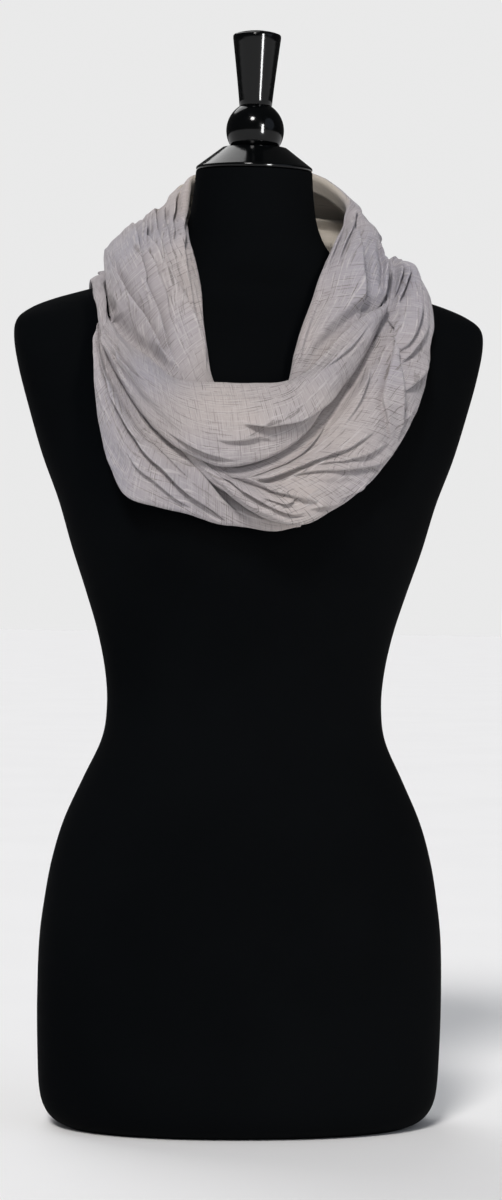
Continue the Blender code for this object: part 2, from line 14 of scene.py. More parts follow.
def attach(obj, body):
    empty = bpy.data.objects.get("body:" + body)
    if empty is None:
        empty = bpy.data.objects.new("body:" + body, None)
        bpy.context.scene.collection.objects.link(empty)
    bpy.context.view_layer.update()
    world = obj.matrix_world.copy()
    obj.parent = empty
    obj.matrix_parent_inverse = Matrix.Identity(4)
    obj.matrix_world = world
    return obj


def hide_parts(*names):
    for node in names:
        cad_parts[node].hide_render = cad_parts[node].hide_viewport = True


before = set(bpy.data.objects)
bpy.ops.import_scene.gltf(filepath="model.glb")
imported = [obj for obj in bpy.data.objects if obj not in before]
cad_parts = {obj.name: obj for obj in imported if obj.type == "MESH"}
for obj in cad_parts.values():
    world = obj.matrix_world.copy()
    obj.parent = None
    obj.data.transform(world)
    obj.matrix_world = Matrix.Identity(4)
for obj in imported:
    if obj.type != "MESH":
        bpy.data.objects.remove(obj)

bl_info = {
    "name": "Infinity scarf on a dress form",
    "version": (1, 0, 0),
    "blender": (4, 5, 0),
    "location": "View3D > Sidebar > Scarf",
    "description": "Builds an infinity scarf wound round a dress form, with its studio",
    "category": "Object",
}

MM = 0.001
CLOTH_MAP = "cloth"
FLOOR_REACH = 40.0

# The form, one row for each level: height, half width, depth in front of and behind the centre
# line, how far the centre line has moved forwards, and how square the section is.
Level = namedtuple("Level", "height half_width front back forward squareness")
FORM_LEVELS = (
    Level(0, 152, 86, 92, 0, 2.2),
    Level(5, 162, 96, 102, 0, 2.2),
    Level(14, 170, 104, 110, 0, 2.2),
    Level(30, 175, 109, 116, 0, 2.2),
    Level(62, 177, 112, 121, 0, 2.2),
    Level(108, 178, 113, 124, 0, 2.2),
    Level(160, 177, 111, 122, 0, 2.2),
    Level(196, 173, 108, 117, 0, 2.2),
    Level(231, 167, 104, 110, 0, 2.15),
    Level(266, 157, 100, 102, 0, 2.1),
    Level(302, 141, 94, 92, 0, 2.1),
    Level(337, 125, 88, 82, 0, 2.1),
    Level(366, 121, 85, 77, 0, 2.1),
    Level(396, 123, 86, 78, 0, 2.1),
    Level(430, 130, 91, 82, 0, 2.1),
    Level(466, 141, 98, 87, 0, 2.15),
    Level(505, 154, 105, 93, 0, 2.2),
    Level(545, 166, 105, 98, 0, 2.25),
    Level(585, 181, 100, 102, 0, 2.3),
    Level(625, 193, 91, 105, 0, 2.4),
    Level(660, 202.5, 79, 105, 0, 2.5),
    Level(686, 207, 69, 101, 0, 2.6),
    Level(702, 205, 61, 95, 0, 2.6),
    Level(712, 193, 55, 89, 0, 2.5),
    Level(720, 174, 51, 83, 0, 2.4),
    Level(727, 151, 48, 78, 0, 2.3),
    Level(734, 127, 47, 74, 0, 2.2),
    Level(743, 101, 47, 70, 1, 2.1),
    Level(755, 80, 48, 65, 2, 2.05),
    Level(772, 65, 49, 60, 3, 2.0),
    Level(790, 57, 50, 56, 5, 2.0),
    Level(812, 53, 50.5, 53, 8, 2.0),
    Level(835, 51, 50.5, 51, 11, 2.0),
)
BUST_SIDE = 76
BUST_HEIGHT = 528
BUST_DEPTH = 17
BUST_REACH = 44
NECK_LEAN = 3.0
NECK_LEAN_FOOT = 755

# The scarf, one row for each section of a wrap: its upper and lower edges, how far its middle
# stands proud of the straight line between them, and how far each edge rolls over.
Section = namedtuple("Section", "top_x top_y top_z low_x low_y low_z crown top_roll low_roll")
OUTER_SECTIONS = (
    Section(114, -52, 722, 115, -57, 714, 2, 1, 1),
    Section(99, -65, 713, 101, -75, 694, 4, 1, 1),
    Section(83, -75, 704, 94, -84, 678, 6, 1, 1),
    Section(58, -90, 682, 75, -104, 648, 9, 1, 1),
    Section(33, -106, 656, 51, -124, 620, 11, 1, 1),
    Section(13, -114, 646, 26, -138, 591, 12, 1, 1),
    Section(-14, -119, 644, -6, -146, 574, 13, 1, 1),
    Section(-45, -118, 644, -37, -148, 568, 14, 1, 1),
    Section(-76, -108, 647, -62, -144, 576, 14, 1, 1),
    Section(-96, -92, 664, -84, -134, 590, 12, 1, 1),
    Section(-113, -80, 677, -104, -115, 613, 9, 1, 1),
    Section(-124, -74, 689, -121, -98, 641, 8, 1, 1),
    Section(-131, -67, 703, -134, -84, 669, 6, 1, 1),
    Section(-131, -36, 733, -141, -60, 711, 4, 0.8, 1),
    Section(-115, 8, 746, -142, 3, 736, 4, 0.3, 1),
    Section(-110, 40, 742, -139, 42, 727, 6, 0.3, 1),
    Section(-93, 72, 766, -114, 90, 722, 8, 0.8, 1),
    Section(0, 94, 786, 0, 122, 725, 11, 1, 1),
    Section(74, 76, 782, 94, 100, 727, 10, 1, 1),
    Section(104, 46, 774, 132, 58, 733, 10, 1, 1),
    Section(113, 8, 752, 150, 8, 742, 13, 0, 1),
    Section(119, -16, 742, 155, -43, 721, 12, 0, 1),
    Section(113, -49, 721, 155, -59, 698, 9, 0, 1),
    Section(105, -69, 695, 151, -69, 680, 11, 0, 1),
    Section(87, -82, 673, 148, -79, 659, 12, 0, 1),
    Section(66, -104, 646, 139, -92, 632, 15, 0, 1),
    Section(46, -116, 621, 125, -106, 605, 16, 0, 1),
    Section(23, -122, 600, 108, -120, 580, 16, 0, 1),
    Section(-2, -126, 586, 84, -133, 554, 15, 0, 1),
    Section(-24, -128, 578, 57, -143, 535, 14, 0, 1),
    Section(-42, -130, 576, 25, -150, 522, 12, 0, 1),
    Section(-56, -131, 582, -20, -154, 538, 9, 0, 1),
    Section(-88, -118, 612, -76, -140, 592, 6, 0, 1),
)
LOWER_SECTIONS = (
    Section(21, -122, 528, 31, -130, 522, 3, 0, 1),
    Section(0, -124, 536, 8, -130, 516, 5, 0, 1),
    Section(-22, -123, 547, -17, -131, 519, 5, 0, 1),
    Section(-43, -119, 565, -40, -132, 521, 6, 0, 1),
    Section(-63, -115, 585, -65, -134, 528, 10, 0, 1),
    Section(-83, -109, 601, -93, -133, 534, 14, 0, 1),
    Section(-96, -100, 617, -118, -124, 543, 14, 0, 1),
    Section(-105, -94, 631, -131, -109, 568, 13, 0, 1),
    Section(-114, -87, 645, -141, -95, 604, 12, 0, 1),
    Section(-122, -79, 662, -145, -86, 637, 10, 0, 1),
    Section(-126, -71, 678, -145, -77, 665, 5, 0, 1),
    Section(-131, -64, 693, -143, -69, 683, 3, 0, 1),
    Section(-128, -55, 700, -134, -58, 695, 2, 0, 1),
)
INNER_SECTIONS = (
    Section(-28, -98, 628, -45, -110, 594, 5, 1, 0),
    Section(-42, -96, 647, -67, -106, 611, 6, 1, 0),
    Section(-45, -84, 677, -86, -94, 638, 9, 1, 0),
    Section(-47, -72, 701, -104, -82, 661, 11, 1, 0),
    Section(-48, -56, 729, -117, -73, 681, 12, 1, 0),
    Section(-52, -50, 751, -131, -66, 702, 14, 1, 0.7),
    Section(-56, -42, 769, -133, -51, 726, 13, 1, 1),
    Section(-56, -14, 788, -131, 6, 758, 11, 1, 1),
    Section(-56, 2, 802, -123, 28, 767, 8, 1, 0.5),
    Section(-54, 18, 819, -102, 48, 770, 5, 1, 0),
    Section(-48, 36, 836, -80, 70, 772, 2, 1, 0),
    Section(-28, 56, 842, -44, 90, 773, 5, 1, 0),
    Section(4, 62, 846, 4, 97, 774, 7, 1, 0),
    Section(38, 60, 850, 54, 92, 774, 8, 1, 0),
    Section(66, 46, 842, 86, 76, 774, 8, 1, 0),
    Section(87, 24, 821, 104, 50, 774, 8, 1, 0),
    Section(82, 6, 801, 112, 26, 778, 9, 1, 0.5),
    Section(76, -12, 785, 121, 4, 770, 11, 1, 1),
    Section(64, -31, 766, 120, -14, 757, 12, 1, 1),
    Section(51, -51, 741, 115, -41, 736, 10, 1, 1),
    Section(43, -62, 717, 110, -58, 719, 9, 1, 0.8),
    Section(33, -76, 692, 87, -70, 697, 8, 1, 0),
    Section(24, -88, 666, 67, -84, 668, 7, 1, 0),
    Section(19, -95, 644, 42, -97, 642, 6, 1, 0),
    Section(9, -99, 627, 17, -106, 616, 5, 1, 0),
)

# A fold, one row for each: lap is 1 where the cloth above the line laps over the cloth below it,
# -1 the other way round, 0 for a soft trough and 2 for a soft roll; width is half the fold's
# width; knots are (section number, place across, depth), with 0 across at the upper edge.
Fold = namedtuple("Fold", "name lap width knots")
OUTER_FOLDS = (
    Fold("pocket", 1, 4.5, ((3.3, 1.03, 0), (3.9, 0.99, 4), (4.7, 0.83, 6), (5.4, 0.72, 9),
         (5.8, 0.69, 10), (6.2, 0.64, 6), (6.45, 0.62, 0))),
    Fold("under_pocket", 1, 3.2, ((5.7, 0.88, 0), (6, 0.8, 3), (6.4, 0.78, 3.5), (6.9, 0.78, 2.5),
         (7.2, 0.78, 0))),
    Fold("left_roll", -1, 3.4, ((9, 0.42, 0), (9.8, 0.52, 2.5), (10.6, 0.64, 4), (11.2, 0.68, 4),
         (11.8, 0.66, 2.5), (12.4, 0.6, 0))),
    Fold("left_edge", -1, 3, ((10.4, 0.98, 0), (11.2, 0.92, 2.5), (11.8, 0.86, 2), (12.4, 0.8, 0))),
    Fold("front_roll", 1, 3, ((6.7, 0.99, 0), (7.1, 0.95, 2.5), (7.5, 0.93, 4), (8, 0.92, 4),
         (8.4, 0.92, 3), (8.9, 0.95, 0))),
    Fold("left_sag", 0, 7, ((8, 0.83, 0), (8.7, 0.83, 1.5), (9.4, 0.8, 2.5), (10.4, 0.86, 2.5),
         (11.2, 0.9, 0))),
    Fold("upper_sag", 0, 8, ((1.2, 0.22, 0), (2.4, 0.22, 2.5), (3, 0.17, 3), (3.6, 0.1, 2),
         (4.2, 0.05, 0))),
    Fold("upper_crease", 1, 3, ((1.6, 0.49, 0), (2.6, 0.51, 2.5), (3.2, 0.46, 2.5), (3.8, 0.38, 0))),
    Fold("shoulder_left", 1, 3, ((13.4, 0.34, 0), (13.9, 0.33, 3), (14.5, 0.3, 4), (15.2, 0.28, 0))),
    Fold("nape_pleat_high", 1, 4, ((13, 0.3, 0), (14.5, 0.26, 5), (17, 0.3, 6), (19, 0.24, 5),
         (20.6, 0.1, 0))),
    Fold("nape_pleat_middle", 1, 4, ((13.4, 0.62, 0), (14.5, 0.54, 5), (16.5, 0.55, 6), (19, 0.5, 6),
         (20.6, 0.45, 0))),
    Fold("nape_pleat_low", 1, 4, ((14, 0.8, 0), (15.5, 0.78, 5), (17.5, 0.76, 5), (19, 0.74, 5),
         (20.4, 0.72, 4), (21.4, 0.75, 0))),
    Fold("nape_fall", -1, 3.2, ((14.8, 0.42, 0), (15.7, 0.43, 4), (16.6, 0.41, 4), (17.6, 0.44, 0))),
    Fold("nape_hollow", 0, 6, ((16, 0.66, 0), (16.8, 0.65, 3), (17.6, 0.63, 3), (18.4, 0.66, 0))),
    Fold("gather_a", 1, 2.4, ((19.2, 0.28, 0), (20.1, 0.2, 5.5), (20.9, 0.09, 7), (21.5, 0.04, 5.5),
         (21.9, 0.03, 0))),
    Fold("gather_b", 1, 2.2, ((19.5, 0.42, 0), (20.4, 0.28, 5.5), (21, 0.17, 7), (21.6, 0.1, 4),
         (22, 0.08, 0))),
    Fold("gather_c", 1, 2.2, ((19.9, 0.52, 0), (20.6, 0.37, 5.5), (21.2, 0.26, 8), (21.7, 0.17, 5.5),
         (22, 0.14, 0))),
    Fold("gather_d", 1, 2.4, ((20.4, 0.58, 0), (21, 0.46, 5.5), (21.4, 0.36, 7), (21.8, 0.26, 4),
         (22.2, 0.22, 0))),
    Fold("shoulder_crease", 1, 3.4, ((21, 0.57, 0), (21.5, 0.62, 4), (22, 0.65, 5.5), (22.8, 0.62, 5),
         (23.5, 0.57, 4), (23.9, 0.52, 3), (24.4, 0.49, 0))),
    Fold("outer_crease", 1, 3.4, ((22.2, 0.93, 0), (22.8, 0.84, 4.5), (23.5, 0.72, 5.5),
         (24, 0.65, 4.5), (24.4, 0.59, 0))),
    Fold("wedge", 1, 3.2, ((23.7, 0.99, 0), (24.2, 0.91, 7), (24.5, 0.86, 8), (24.8, 0.8, 7),
         (25.2, 0.75, 0))),
    Fold("low_wedge", 1, 2.6, ((25.2, 1, 0), (25.6, 0.96, 3), (25.8, 0.93, 3), (26.1, 0.9, 0))),
    Fold("rope_inner", -1, 3.4, ((22.2, 0.1, 0), (22.6, 0.18, 2.5), (23, 0.25, 4), (23.6, 0.34, 5),
         (24.4, 0.43, 4.5), (25.1, 0.49, 5), (25.5, 0.54, 4.5), (25.9, 0.67, 3.5), (26.3, 0.8, 2),
         (26.6, 0.93, 0))),
    Fold("rope_outer", 1, 3.4, ((23.2, 0.29, 0), (23.8, 0.43, 3.5), (24.5, 0.56, 5), (25, 0.67, 5.5),
         (25.6, 0.8, 5), (26, 0.91, 3.5), (26.5, 0.99, 0))),
    Fold("inner_fall", 1, 4, ((24, 0.17, 0), (24.7, 0.25, 3), (25.3, 0.3, 4), (26, 0.34, 3),
         (26.6, 0.36, 0))),
    Fold("rib", 1, 3.2, ((24.5, 0.14, 0), (24.9, 0.12, 3), (25.4, 0.1, 5), (26.5, 0.17, 6),
         (27.2, 0.25, 6), (27.8, 0.3, 6), (28.7, 0.33, 5), (29.8, 0.36, 3), (30.7, 0.48, 0))),
    Fold("deep_gap", 1, 3.2, ((26.5, 0.7, 0), (26.9, 0.64, 3), (27.3, 0.6, 4), (27.6, 0.53, 5.5),
         (28.1, 0.47, 6), (29.1, 0.44, 6.5), (29.6, 0.43, 5), (30, 0.43, 0))),
    Fold("gap_branch", 1, 2.6, ((26.6, 0.93, 0), (26.9, 0.86, 2), (27.3, 0.78, 3), (27.7, 0.67, 3),
         (27.9, 0.58, 2.5), (28.2, 0.52, 0))),
    Fold("fan_upper", 1, 2.8, ((26.9, 1.02, 0), (27.3, 0.97, 3), (27.6, 0.86, 4.5), (28, 0.72, 4.5),
         (28.3, 0.6, 4), (28.6, 0.54, 3), (29, 0.52, 0))),
    Fold("brown_trough", 0, 5, ((27.9, 0.93, 0), (28.2, 0.86, 1.5), (28.4, 0.8, 2.2),
         (28.65, 0.72, 1.5), (29, 0.68, 0))),
    Fold("fan_main", 1, 3, ((29.1, 0.97, 0), (29.25, 0.86, 3.5), (29.45, 0.75, 4.5), (29.7, 0.66, 4.5),
         (30.1, 0.6, 4.5), (30.5, 0.57, 5), (31.2, 0.7, 3), (31.75, 0.95, 0))),
    Fold("fan_cross", 1, 2.4, ((29.35, 0.79, 0), (29.6, 0.77, 3.5), (30, 0.8, 4), (30.3, 0.8, 3),
         (30.6, 0.82, 0))),
    Fold("fan_lower", 1, 2.6, ((29.6, 0.93, 0), (30.05, 0.93, 4), (30.4, 0.91, 4.5), (30.8, 0.88, 5),
         (31.2, 0.9, 4.5), (31.5, 0.96, 3), (31.8, 1.01, 0))),
    Fold("hem_roll", 1, 2.2, ((29.7, 1.03, 0), (30.2, 1.03, 2.5), (30.6, 1.02, 3), (31.1, 1.03, 3),
         (31.6, 1.03, 2.5), (31.95, 1.03, 0))),
    Fold("hem_loop", 1, 2.6, ((28.6, 1.02, 0), (28.9, 1, 2), (29.1, 0.96, 4), (29.3, 0.93, 3),
         (29.45, 0.91, 0))),
    Fold("hem_turn", 1, 2.6, ((27.5, 1, 0), (27.8, 1, 2), (28.1, 1.01, 4), (28.4, 0.99, 3),
         (28.7, 0.98, 0))),
)
LOWER_FOLDS = (
    Fold("long_crease", 1, 3, ((2.7, 1.01, 0), (3.2, 0.88, 3.5), (3.8, 0.83, 4.5), (4.3, 0.76, 5.5),
         (5, 0.6, 6), (6.1, 0.45, 6), (7.2, 0.46, 6), (8.1, 0.54, 6), (8.8, 0.58, 5), (9.6, 0.66, 4.5),
         (10.6, 0.8, 0))),
    Fold("short_crease", 1, 2.8, ((4, 0.62, 0), (4.5, 0.52, 3), (4.9, 0.42, 3.5), (5.4, 0.32, 4),
         (6, 0.26, 4), (7.2, 0.26, 4), (8.2, 0.3, 3), (9.2, 0.36, 0))),
    Fold("hem_crease", 1, 2.6, ((4, 0.97, 0), (4.3, 0.92, 3), (4.6, 0.87, 4), (4.9, 0.81, 4.5),
         (5.4, 0.74, 4), (5.9, 0.7, 2.5), (6.4, 0.66, 0))),
    Fold("edge_fold", 1, 2.6, ((7.7, 0.8, 0), (8.4, 0.88, 3), (9.2, 0.93, 4), (9.9, 1, 4),
         (10.5, 1.01, 3), (11.2, 1.03, 0))),
    Fold("side_fold", 1, 2.6, ((8.8, 0.8, 0), (9.4, 0.8, 3), (9.9, 0.83, 4), (10.4, 0.8, 4),
         (11, 0.65, 0))),
    Fold("upper_fall", -1, 3, ((2.2, 0.66, 0), (2.9, 0.55, 3), (3.6, 0.42, 4), (4.2, 0.3, 4),
         (5, 0.15, 3), (6, 0.1, 0))),
    Fold("low_sag", 0, 7, ((4.6, 0.86, 0), (5.3, 0.8, 1.5), (6, 0.75, 2.5), (6.9, 0.83, 2),
         (7.7, 0.91, 0))),
)
INNER_FOLDS = (
    Fold("neck_strand", -1, 3, ((1.5, -0.02, 0), (2.2, 0.04, 3), (2.9, 0.07, 4), (3.6, 0.12, 4),
         (4.5, 0.14, 4.5), (5.3, 0.12, 5), (5.7, 0.09, 4), (6.4, 0.04, 0))),
    Fold("left_inner_pleat", -1, 3.4, ((1.3, 0.04, 0), (1.8, 0.06, 4), (2.5, 0.12, 6.5),
         (3.2, 0.19, 8.5), (4.5, 0.31, 8), (5.4, 0.36, 6), (6.1, 0.38, 4.5), (7.1, 0.46, 4),
         (8.1, 0.54, 0))),
    Fold("left_middle_pleat", -1, 3.6, ((1.8, 0.67, 0), (2.3, 0.62, 3), (2.8, 0.58, 4.5),
         (3.6, 0.58, 6), (4.6, 0.6, 5), (5.5, 0.58, 5), (6, 0.54, 5), (6.5, 0.52, 4), (8.2, 0.62, 0))),
    Fold("left_outer_pleat", -1, 3.6, ((2.2, 0.7, 0), (2.7, 0.69, 5), (3.3, 0.7, 6.5), (4.1, 0.74, 8),
         (4.8, 0.79, 8), (5.4, 0.83, 7.5), (6, 0.87, 5), (6.5, 0.91, 2.5), (7, 0.95, 0))),
    Fold("left_ridge", 2, 6, ((2.2, 0.32, 0), (3.2, 0.36, 2), (4.3, 0.46, 2.5), (5.3, 0.48, 2),
         (5.9, 0.46, 0))),
    Fold("strand_a", -1, 2.6, ((5.4, 0.07, 0), (6, 0.05, 5), (6.9, 0, 5), (8.3, -0.04, 5),
         (9.5, -0.04, 4), (10.2, -0.04, 0))),
    Fold("strand_b", -1, 2.6, ((5.9, 0.14, 0), (6.3, 0.12, 4), (6.9, 0.12, 5), (7.7, 0.09, 7),
         (8.5, 0.07, 5), (9.4, 0.05, 0))),
    Fold("strand_c", -1, 2.6, ((5.7, 0.2, 0), (6.2, 0.2, 5), (6.8, 0.21, 5), (7.5, 0.2, 5),
         (8.4, 0.18, 0))),
    Fold("lobe_edge", -1, 3, ((5.3, 0.27, 0), (5.9, 0.28, 4), (6.6, 0.3, 4), (7.4, 0.3, 4.5),
         (8.2, 0.32, 4), (9, 0.36, 0))),
    Fold("nape_pleat_upper", 1, 4, ((8.8, 0.24, 0), (10, 0.26, 4), (12, 0.28, 5), (14, 0.24, 4),
         (15.6, 0.2, 0))),
    Fold("nape_pleat_lower", 1, 4, ((8.6, 0.6, 0), (10, 0.6, 5), (12, 0.58, 5), (14, 0.6, 5),
         (15.8, 0.56, 0))),
    Fold("nape_crease_a", 1, 3, ((9.5, 0.42, 0), (10.6, 0.44, 3), (11.8, 0.43, 4), (13, 0.42, 3),
         (14.2, 0.42, 0))),
    Fold("nape_crease_b", 0, 5, ((10.2, 0.8, 0), (11.4, 0.82, 3), (12.8, 0.8, 3.5), (14, 0.83, 2),
         (15.2, 0.8, 0))),
    Fold("nape_crease_c", -1, 3, ((9.4, 0.12, 0), (10.4, 0.12, 3), (12, 0.1, 3), (13.4, 0.12, 0))),
    Fold("right_inner_pleat", 1, 3, ((15, 0, 0), (16, -0.03, 3.5), (16.8, -0.02, 5), (17.5, 0, 4),
         (18.4, 0.03, 2.5), (19, 0.05, 0))),
    Fold("right_strand", 1, 2.8, ((15.3, 0.07, 0), (15.9, 0.1, 5), (16.5, 0.11, 5.5), (17.4, 0.12, 5),
         (18.2, 0.15, 3), (19, 0.2, 0))),
    Fold("right_ridge", 1, 3.8, ((16.4, 0.16, 0), (17, 0.22, 3.5), (17.8, 0.34, 5), (18.6, 0.5, 6),
         (19.2, 0.59, 8), (19.9, 0.67, 8.5), (20.3, 0.75, 8.5), (20.9, 0.88, 7), (21.3, 0.94, 3.5),
         (21.7, 0.96, 0))),
    Fold("right_hollow", 0, 6, ((17.5, 0.5, 0), (18.2, 0.68, 3), (19, 0.8, 4), (19.7, 0.86, 4),
         (20.2, 0.93, 3), (20.9, 0.97, 0))),
    Fold("right_outer", -1, 3, ((17.4, 0.64, 0), (17.9, 0.82, 4), (18.4, 0.94, 5), (19.2, 1, 4),
         (19.8, 1.03, 0))),
    Fold("right_faint", 1, 3, ((19.6, 0.03, 0), (20.4, 0.07, 1.5), (21.2, 0.08, 2), (21.8, 0.1, 1.5),
         (22.6, 0.14, 0))),
    Fold("left_fourth_pleat", -1, 3.2, ((3, 0.44, 0), (3.8, 0.44, 3), (4.6, 0.46, 4.5), (5.4, 0.47, 5),
         (6.2, 0.46, 4), (7, 0.4, 3), (7.8, 0.38, 0))),
)

# Each piece of cloth: its sections and folds, its first and last section, its cells along, what
# it lies under and where, the nodes of the frame that it stands for, the seed of its wrinkles and
# its cut laid flat, across and along, in millimetres.
Cover = namedtuple("Cover", "name first last")
Wrap = namedtuple("Wrap", "name sections folds first last cells covers replaces seed cut")
WRAPS = (
    Wrap("inner_wrap", INNER_SECTIONS, INNER_FOLDS, 0, 24, 400,
         (Cover("front_wrap", -2, 5.2), Cover("back_wrap", 8.4, 17.2), Cover("front_wrap", 20.2, 99)),
         ("collar_left", "collar_nape", "collar_right"), 3, (121, 765)),
    Wrap("front_wrap", OUTER_SECTIONS, OUTER_FOLDS, 0.3, 15.3, 300, (Cover("inner_wrap", 14, 14.6),),
         ("front_upper",), 11, (75, 515)),
    Wrap("back_wrap", OUTER_SECTIONS, OUTER_FOLDS, 15.3, 32, 400,
         (Cover("inner_wrap", 20, 22), Cover("front_wrap", 22, 99)), ("outer_nape", "lower_right"), 11,
         (118, 765)),
    Wrap("lower_wrap", LOWER_SECTIONS, LOWER_FOLDS, 0, 12, 210,
         (Cover("front_wrap", -2, 99), Cover("back_wrap", -2, 6)), ("lower_left",), 29, (77, 290)),
)

# How the cloth's edges turn over, and how it keeps clear of what it lies on, in millimetres.
FRAME_WALL = 1.6
LIP_RADIUS = 4.2
TAIL_LENGTH = 13.0
TUCK = 1.0
NODE_GAP = 0.3
RESTING_GAP = 0.5
COVER_REACH = 12.0
COVER_MARGIN = 3.0
COVER_SEARCH = 45.0
LIP_CELLS = 7
TAIL_CELLS = 4

# The least lip, and the lip's and tail's most for each mm of a section; a flat edge keeps a share
# of both.
LEAST_LIP = 2.4
LIP_SHARE = 0.1
TAIL_SHARE = 0.3
FLAT_SHARE = 0.15

# How folds wander and end, and the ridge and hollow beside a lap: depth for each mm of the lap's,
# then place and width in fold widths. Then the slight creases: length, width and slant, in mm.
DEPTH_WANDER = 38.0
LINE_WANDER = 42.0
LINE_WANDER_REACH = 0.9
END_WIDTH = 0.55
LAP_RIDGE = (0.30, 2.4, 1.7)
LAP_HOLLOW = (0.22, 2.8, 1.9)
CREASE_LENGTH = 46.0
CREASE_WIDTH = 15.0
CREASE_SLANT = 90.0

# Places along a wrap: samples between two sections, and the step that gives its heading.
SECTION_SAMPLES = 12
HEADING_STEP = 0.05


class Expression:
    """A node socket that Python's operators build maths on."""

    def __init__(self, tree, socket):
        self.tree = tree
        self.socket = socket

    def _maths(self, operation, *values):
        return self.tree.node("ShaderNodeMath", {"operation": operation}, dict(enumerate(values)))

    def __add__(self, other):
        return self._maths("ADD", self, other)

    __radd__ = __add__

    def __sub__(self, other):
        return self._maths("SUBTRACT", self, other)

    def __rsub__(self, other):
        return self._maths("SUBTRACT", other, self)

    def __mul__(self, other):
        return self._maths("MULTIPLY", self, other)

    __rmul__ = __mul__

    def sine(self):
        return self._maths("SINE", self)

    def absolute(self):
        return self._maths("ABSOLUTE", self)

    def at_most(self, other):
        return self._maths("MINIMUM", self, other)

    def band(self, low, high):
        """0 below low, 1 above high and smooth between; either may be the larger number."""
        settings = {"interpolation_type": "SMOOTHSTEP", "clamp": True}
        values = {"Value": self, "From Min": low, "From Max": high}
        return self.tree.node("ShaderNodeMapRange", settings, values)


class NodeTree:
    """A material's nodes, added one call at a time."""

    def __init__(self, name):
        self.material = bpy.data.materials.new(name)
        self.material.use_nodes = True
        self.nodes = self.material.node_tree.nodes
        self.links = self.material.node_tree.links
        self.shader = self.nodes["Principled BSDF"]

    def node(self, kind, settings=None, values=None, output=0):
        """A node of a kind: its settings are set first, then its sockets' values or links."""
        node = self.nodes.new(kind)
        for name, value in (settings or {}).items():
            setattr(node, name, value)
        for name, value in (values or {}).items():
            self.feed(node.inputs[name], value)
        return Expression(self, node.outputs[output])

    def feed(self, socket, value):
        if isinstance(value, Expression):
            self.links.new(value.socket, socket)
        else:
            socket.default_value = value

    def mix(self, share, first, second):
        """A colour between two, by a share from 0 to 1."""
        values = {0: share, 6: first, 7: second}
        return self.node("ShaderNodeMix", {"data_type": "RGBA"}, values, output=2)

    def scaled(self, vector, scale):
        return self.node("ShaderNodeVectorMath", {"operation": "MULTIPLY"}, {0: vector, 1: scale})

    def noise(self, vector, scale, detail=2.0, roughness=0.5, dimensions="3D"):
        values = {"Vector": vector, "Scale": scale, "Detail": detail, "Roughness": roughness}
        return self.node("ShaderNodeTexNoise", {"noise_dimensions": dimensions}, values)

    def dot(self, first, second):
        settings = {"operation": "DOT_PRODUCT"}
        return self.node("ShaderNodeVectorMath", settings, {0: first, 1: second}, output=1)

    def part(self, vector, axis):
        """One of a vector's three numbers."""
        return self.node("ShaderNodeSeparateXYZ", {}, {0: vector}, output=axis)

    def surface_normal(self):
        return self.node("ShaderNodeNewGeometry", output=1)

    def object_place(self):
        return self.node("ShaderNodeTexCoord", output=3)

    def uv_place(self, name):
        return self.node("ShaderNodeUVMap", {"uv_map": name})

    def bump(self, height, distance, strength=1.0):
        values = {"Height": height, "Distance": distance, "Strength": strength}
        return self.node("ShaderNodeBump", {}, values)

    def finish(self, **values):
        """Sets the shader's sockets, whose names are given with underscores for spaces."""
        for name, value in values.items():
            self.feed(self.shader.inputs[name.replace("_", " ")], value)
        return self.material


# Where the noise turns into a thread and its stretches, and how much wider apart the light
# threads are than the dark ones.
THREAD_CUT = (0.52, 0.66)
STRETCH_CUT = (0.44, 0.60)
THREAD_STRAIGHTNESS = 300
LIGHT_PITCH = 1.31


def threads_of(tree, cloth, sizes, way, pitch):
    """Straight threads that run along (0) or across (1) the cloth, seen over short stretches."""
    fineness = sizes.slub_fineness * pitch
    lines = (fineness, fineness / THREAD_STRAIGHTNESS, 1)
    stretches = (fineness / 3, fineness / sizes.slub_length, 1)
    if way:
        lines, stretches = (lines[1], lines[0], 1), (stretches[1], stretches[0], 1)
    line = tree.noise(tree.scaled(cloth, lines), 1.0, 1.0, 0.5, "2D").band(*THREAD_CUT)
    stretch = tree.noise(tree.scaled(cloth, stretches), 1.0, 2.0, 0.6, "2D").band(*STRETCH_CUT)
    return line * stretch


